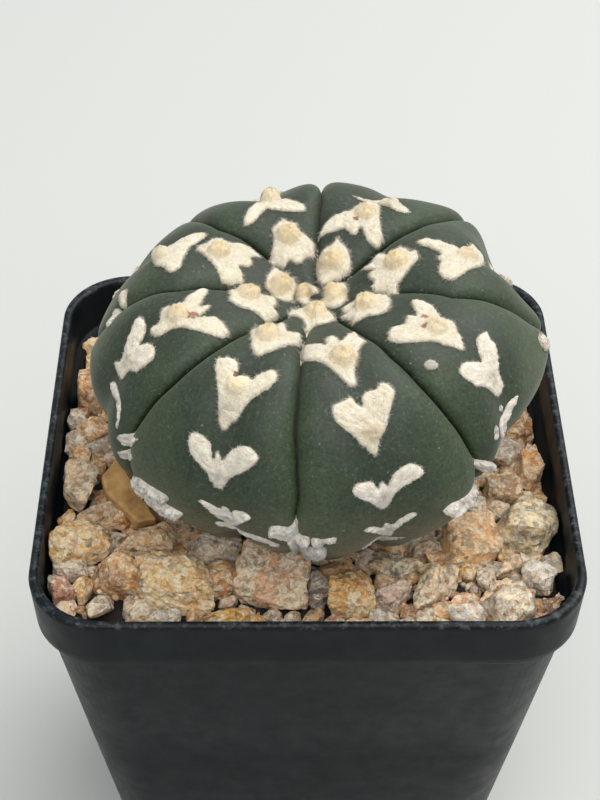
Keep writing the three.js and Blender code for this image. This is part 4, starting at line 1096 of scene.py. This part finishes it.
for number, (down_at, round_at, youth, rise, side, point, lobe, width) in enumerate(BACK_WOOL):
    slope_up = rise / math.hypot(rise, side) * width / 2
    slope_side = side / math.hypot(rise, side) * width / 2
    wing = [
        (-rise * 0.55 + slope_side, side * 0.75 + slope_up),
        (-rise * 0.95 + slope_side * 0.8, side + slope_up * 0.6),
        (-rise - slope_side * 0.3, side * 0.9 - slope_up * 0.6),
        (-rise * 0.6 - slope_side, side * 0.5 - slope_up * 0.6),
    ]
    outline = [(point, -0.25), (point, 0.25), (point * 0.45, width * 0.6), *wing, (-lobe, 0),
               *[(a, -b) for a, b in reversed(wing)], (point * 0.45, -width * 0.6)]
    WOOL_PATCHES["back_%d" % number] = (down_at, round_at, youth, outline)
# where a tuft stands off its patch's own spot, as steps down and across
TUFT_PLACES = {"A2": (-3.5, 0.4)}
# how much higher some patches stand: two young tufts as balls, and the ruffled felt that the
# ribs' feet push out between them
STANDING = {
    "D2": 0.8, "C3": 0.7, "SL": 0.45, "SR": 0.6, "SRa": 0.5, "SRb": 0.5, "FA": 0.3, "FB": 0.4, "FC": 0.3,
    "FD": 0.4,
}
# rusty marks in the wool: place in the photo's pixels, and half width in millimetres
RUST_SPOTS = [
    (193, 313, 0.8), (425, 315, 0.6), (424, 325, 0.5), (236, 373, 0.6), (249, 372, 0.4),
    (356, 217, 0.5), (272, 209, 0.5),
]
rust_spots = [(*seen_at(x, y), size) for x, y, size in RUST_SPOTS]
WOOL_CELL = 0.22
# how deep the wool's edge starts under the skin, and where the skirt under a patch ends
WOOL_SUNK = 0.35
SKIRT_LIFT = -0.9
# hairs on a square millimetre of young wool and on a millimetre of its edge
HAIRS_ON_WOOL = 22
HAIRS_ON_EDGE = 32


def inside_by(points, outline):
    """How far each point lies inside an outline, negative outside."""
    corners = np.array(outline, float)
    after = np.roll(corners, -1, axis=0)
    edge = after - corners
    rel = points[:, None, :] - corners[None]
    t = np.clip((rel * edge).sum(-1) / np.maximum((edge ** 2).sum(-1), 1e-9), 0, 1)
    near = np.linalg.norm(rel - t[..., None] * edge, axis=-1).min(1)
    crosses = (corners[:, 1] > points[:, None, 1]) != (after[:, 1] > points[:, None, 1])
    slope = edge[:, 0] / np.where(np.abs(edge[:, 1]) < 1e-9, 1e-9, edge[:, 1])
    hit = points[:, None, 0] < corners[:, 0] + slope * (points[:, None, 1] - corners[:, 1])
    inside = (crosses & hit).sum(1) % 2 == 1
    return np.where(inside, near, -near)


def rounded_outline(outline):
    """The outline with its corners cut once."""
    corners = np.array(outline, float)
    after = np.roll(corners, -1, axis=0)
    return np.stack([corners * 0.75 + after * 0.25, corners * 0.25 + after * 0.75], 1).reshape(-1, 2)


def spread(flat, across=1.0, along=0.1):
    """Places for relief that runs out from the tuft in strands."""
    reach = np.linalg.norm(flat, axis=1)
    heading = flat / np.maximum(reach, 1e-6)[:, None]
    return np.column_stack([heading * across, reach * along])


def wool_height(flat, outline, tuft_place, youth, tall, seed):
    """Lift of the wool over the skin at flat points of a patch: felt that runs out from a rough
    round tuft, or on old areoles a thin wrinkled skin of dry felt."""
    spot = np.column_stack([flat, np.zeros(len(flat))])
    rough = 1 - 0.8 * tall
    from_tuft = np.linalg.norm(flat - tuft_place, axis=1) + 0.14 * rough * lumps(spot, 0.9, seed + 7)
    petals = lumps(spread(flat, 1.0, 0.06), 0.75, seed + 3)
    strands = lumps(spread(flat, 1.0, 0.2), 0.22, seed + 4)
    ragged = 0.09 * strands + 0.05 * lumps(spot, 0.55, seed)
    inside = inside_by(flat, outline)
    if tall and youth > 0:
        inside = np.maximum(inside, 1.5 - from_tuft)
    inside = inside + ragged * min(1, 0.5 + youth)
    climb = smooth(inside, -0.12, 0.30)
    if youth < 0.1:
        folds = 1 - 2 * np.abs(lumps(spot * (1.0, 0.45, 1), 1.1, seed + 1))
        creases = 1 - 2 * np.abs(lumps(spot * (1.0, 0.6, 1), 0.5, seed + 2))
        folded = 0.54 + tall + (0.12 + 0.5 * tall) * folds + (0.08 + 0.3 * tall) * creases
        return climb * folded - WOOL_SUNK, inside, from_tuft
    edge_rise = 1 - np.exp(-np.clip(inside, 0, None) / 0.6)
    full = 0.10 + 0.10 * youth + (0.30 + 0.12 * petals + 0.05 * strands) * edge_rise
    dome = np.clip(1 - (from_tuft / (1.0 + 0.5 * youth + 0.2 * tall)) ** 2, 0, 1) ** (0.5 + 0.2 * tall)
    tuft = dome * (1.35 * youth ** 1.3 + tall) * (1 + 0.12 * rough * lumps(spot, 0.6, seed + 1))
    fluff = 0.06 * lumps(spot, 0.45, seed + 2) + 0.07 * lumps(spot, 1.2, seed + 5) * edge_rise
    knots = 0.05 * (1 - 2 * np.abs(lumps(spot, 0.32, seed + 6))) * edge_rise
    return climb * (full + tuft + fluff + knots + WOOL_SUNK) - WOOL_SUNK, inside, from_tuft


def inward(points, outline):
    """The way from each point straight into an outline."""
    step = 0.05
    slope = np.stack([inside_by(points + shove, outline) - inside_by(points - shove, outline)
                      for shove in (np.array([step, 0]), np.array([0, step]))], -1)
    return slope / np.maximum(np.linalg.norm(slope, axis=1), 1e-6)[:, None]


def to_bearing(down_at, round_at, flat):
    """Distance and bearing of flat points of a patch."""
    distance = np.maximum(down_at + flat[:, 0], 0.3)
    return distance, round_at + np.degrees(flat[:, 1] / patch_radius(distance))


def rust_at(distance, bearing):
    """How rusty the wool is, from 0 to 1."""
    rust = np.zeros(len(distance))
    for down_at, round_at, size in rust_spots:
        across = np.radians(bearing - round_at) * np.interp(down_at, section_walk, section[:, 0])
        rust = np.maximum(rust, np.exp(-(np.hypot(distance - down_at, across) / size) ** 2))
    return rust


wool_parts = []
fibre_parts = []
spike_bm = bmesh.new()
bmesh.ops.create_cone(spike_bm, cap_ends=True, segments=3, radius1=1, radius2=0, depth=1,
                      matrix=Matrix.Translation((0, 0, 0.5)))
bmesh.ops.remove_doubles(spike_bm, verts=spike_bm.verts[:], dist=1e-5)
spike, spike_faces = mesh_arrays(spike_bm)
random_wool = np.random.default_rng(5)
HAIR_HALF = 0.014
for order, (name, (down_at, round_at, youth, outline)) in enumerate(WOOL_PATCHES.items()):
    seed = 100 + order * 10
    tuft_place = np.array(TUFT_PLACES.get(name, (0, 0)))
    tall = STANDING.get(name, 0)
    tuft_size = 1.0 + 0.5 * youth + 0.2 * tall
    shape = rounded_outline(outline)
    low, high = shape.min(0) - 0.6, shape.max(0) + 0.6
    cells = np.maximum(np.ceil((high - low) / WOOL_CELL).astype(int), 2)
    flat_bm = bmesh.new()
    bmesh.ops.create_grid(flat_bm, x_segments=int(cells[0]), y_segments=int(cells[1]), size=0.5)
    bmesh.ops.scale(flat_bm, vec=(*(high - low), 1), verts=flat_bm.verts[:])
    bmesh.ops.translate(flat_bm, vec=(*((high + low) / 2), 0), verts=flat_bm.verts[:])
    flat = np.array([v.co for v in flat_bm.verts])[:, :2]
    lift, inside, _ = wool_height(flat, shape, tuft_place, youth, tall, seed)
    for vert, height in zip(flat_bm.verts, lift):
        vert.co.z = height
    away = [v for v, gap in zip(flat_bm.verts, inside) if gap < -0.4]
    bmesh.ops.delete(flat_bm, geom=away, context="VERTS")
    edges = [e for e in flat_bm.edges if e.is_boundary]
    skirt = bmesh.ops.extrude_edge_only(flat_bm, edges=edges)["geom"]
    for vert in (g for g in skirt if isinstance(g, bmesh.types.BMVert)):
        vert.co.z = SKIRT_LIFT
    bmesh.ops.holes_fill(flat_bm, edges=[e for e in flat_bm.edges if e.is_boundary])
    bmesh.ops.recalc_face_normals(flat_bm, faces=flat_bm.faces[:])
    points, faces = mesh_arrays(flat_bm)
    distance, bearing = to_bearing(down_at, round_at, points[:, :2])
    place = body_point(distance, bearing, points[:, 2])[0]
    from_tuft = np.linalg.norm(points[:, :2] - tuft_place, axis=1)
    marks = {"youth": youth, "from_tuft": from_tuft / tuft_size,
             "strand": spread(points[:, :2], 1.0, 0.12), "rust": rust_at(distance, bearing)}
    wool_parts.append((place, faces, marks))

    count = int(HAIRS_ON_WOOL * np.prod(high - low) * (0.25 + 0.75 * youth))
    roots = random_wool.uniform(low, high, (count, 2))
    shape_edge = np.linalg.norm(shape - np.roll(shape, 1, axis=0), axis=1).sum()
    rim_count = int(HAIRS_ON_EDGE * shape_edge)
    edge_at = random_wool.uniform(0, len(shape), rim_count)
    edge_start, edge_end = shape[edge_at.astype(int)], shape[(edge_at.astype(int) + 1) % len(shape)]
    on_rim = edge_start + (edge_end - edge_start) * (edge_at % 1)[:, None]
    on_rim += inward(on_rim, shape) * random_wool.uniform(0.1, 0.3, (rim_count, 1))
    roots = np.concatenate([roots, on_rim])
    lift, inside, from_tuft = wool_height(roots, shape, tuft_place, youth, tall, seed)
    keep = (inside > 0) & (lift > -0.03)
    roots, lift, inside, from_tuft = (values[keep] for values in (roots, lift, inside, from_tuft))
    outward = (roots - tuft_place) / np.maximum(from_tuft, 0.3)[:, None]
    rim = np.where(inside < 0.4, 1.0, 0.2)[:, None]
    heading = -inward(roots, shape) * rim + outward * (1 - 0.8 * rim)
    heading += random_wool.normal(size=roots.shape) * 0.4
    in_tuft = youth * np.clip(1.2 - from_tuft / tuft_size, 0, 1)
    length = (0.16 + 0.22 * youth) * random_wool.uniform(0.4, 1.4, len(roots)) * (1 - 0.45 * in_tuft)
    length *= np.where(inside < 0.4, 1.05 if youth >= 0.1 else 0.7, 0.8)
    rise = length * (0.12 + 0.9 * in_tuft + random_wool.uniform(-0.1, 0.25, len(roots)))
    tips = roots + heading * length[:, None]
    at, spin = to_bearing(down_at, round_at, roots)
    base = body_point(at, spin, lift - 0.03)[0]
    tip_at, tip_spin = to_bearing(down_at, round_at, tips)
    tip_lift = np.maximum(wool_height(tips, shape, tuft_place, youth, tall, seed)[0], 0.03)
    tip_lift = np.where(in_tuft > 0.2, np.maximum(lift, 0.03), tip_lift) + rise
    tip = body_point(tip_at, tip_spin, tip_lift)[0]
    axis = tip - base
    half = np.where(inside < 0.4, 1.6 * HAIR_HALF, HAIR_HALF)
    side = np.cross(axis, random_wool.normal(size=axis.shape))
    side *= (half / np.maximum(np.linalg.norm(side, axis=1), 1e-6))[:, None]
    other = np.cross(axis, side)
    other *= (half / np.maximum(np.linalg.norm(other, axis=1), 1e-6))[:, None]
    hairs = base[:, None, :] + spike[None, :, :1] * side[:, None, :]
    hairs = hairs + spike[None, :, 1:2] * other[:, None, :] + spike[None, :, 2:] * axis[:, None, :]
    hairs = hairs.reshape(-1, 3)
    hair_faces = [[i + k * len(spike) for i in face] for k in range(len(roots)) for face in spike_faces]
    each = np.repeat(np.arange(len(roots)), len(spike))
    marks = {"youth": youth, "from_tuft": from_tuft[each] / tuft_size,
             "strand": spread(roots, 1.0, 0.12)[each], "rust": rust_at(at, spin)[each]}
    fibre_parts.append((hairs, hair_faces, marks))
wool = joined("areole_wool", wool_parts)
fibres = joined("areole_wool_hairs", fibre_parts)

felt = Finish("areole_wool")
youth_here = felt.marked("youth")
tuft_here = felt.marked("from_tuft")
patchy = felt.noise(1.1, 4, 0.6)
cream = felt.mix(felt.span(patchy, 0.35, 0.65), tone("dfd8c6"), tone("d6ccb3"))
aged = felt.mix(felt.span(youth_here, 0.5, 0.0), cream, felt.mix(felt.span(patchy, 0.35, 0.65),
                tone("ece6dc"), tone("d8cfc3")))
golden = felt.sum("MULTIPLY", felt.span(tuft_here, 0.4, 1.5, 1, 0), felt.span(youth_here, 0.25, 0.9))
golden = felt.sum("MULTIPLY", golden, felt.span(felt.noise(0.6, 3), 0.3, 0.6, 0.65, 1))
coloured = felt.mix(golden, aged, tone("f9dfad"))
strands = felt.nodes.new("ShaderNodeTexNoise")
felt.links.new(felt.marked("strand", "Vector"), strands.inputs["Vector"])
strands.inputs["Scale"].default_value = 7
strands.inputs["Detail"].default_value = 5
strands.inputs["Roughness"].default_value = 0.65
# painted shade: the felt darkens where its strand relief dips, in its creases
creases = felt.span(strands.outputs["Fac"], 0.48, 0.33, 0, 0.25)
dim = felt.mix(1.0, coloured, (0.74, 0.63, 0.48), "MULTIPLY")
coloured = felt.mix(creases, coloured, dim)
# painted shade: darker where the nap's relief dips
nap = felt.noise(0.22, 3, 0.6)
dim = felt.mix(1.0, coloured, (0.78, 0.69, 0.56), "MULTIPLY")
coloured = felt.mix(felt.span(nap, 0.35, 0.55, 0.15, 0), coloured, dim)
# painted shade: darker where the tangle's relief dips
tangle = felt.noise(0.5, 4, 0.65, 0.6)
dim = felt.mix(1.0, coloured, (0.86, 0.80, 0.68), "MULTIPLY")
coloured = felt.mix(felt.span(tangle, 0.48, 0.34, 0, 0.3), coloured, dim)
rust = felt.sum("MULTIPLY", felt.marked("rust"), felt.span(felt.noise(0.45, 3), 0.3, 0.6, 0.3, 1))
rust = felt.span(rust, 0.3, 0.5, 0, 0.85)
coloured = felt.mix(rust, coloured, tone("8a4a2a"))
felt.set(Base_Color=coloured, Roughness=0.92,
         Normal=felt.relief(strands.outputs["Fac"], 0.35, felt.relief(tangle, 0.2, felt.relief(nap, 0.16))))
felt.shader.inputs["Specular IOR Level"].default_value = 0.15
felt.shader.inputs["Sheen Weight"].default_value = 0.3
felt.shader.inputs["Subsurface Weight"].default_value = 0.15
felt.shader.inputs["Subsurface Radius"].default_value = (1.0, 0.8, 0.5)
felt.shader.inputs["Subsurface Scale"].default_value = 0.4 * MM
for piece in (wool, fibres):
    piece.data.materials.append(felt.material)
    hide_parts("star_cactus")
    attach(piece, "root")
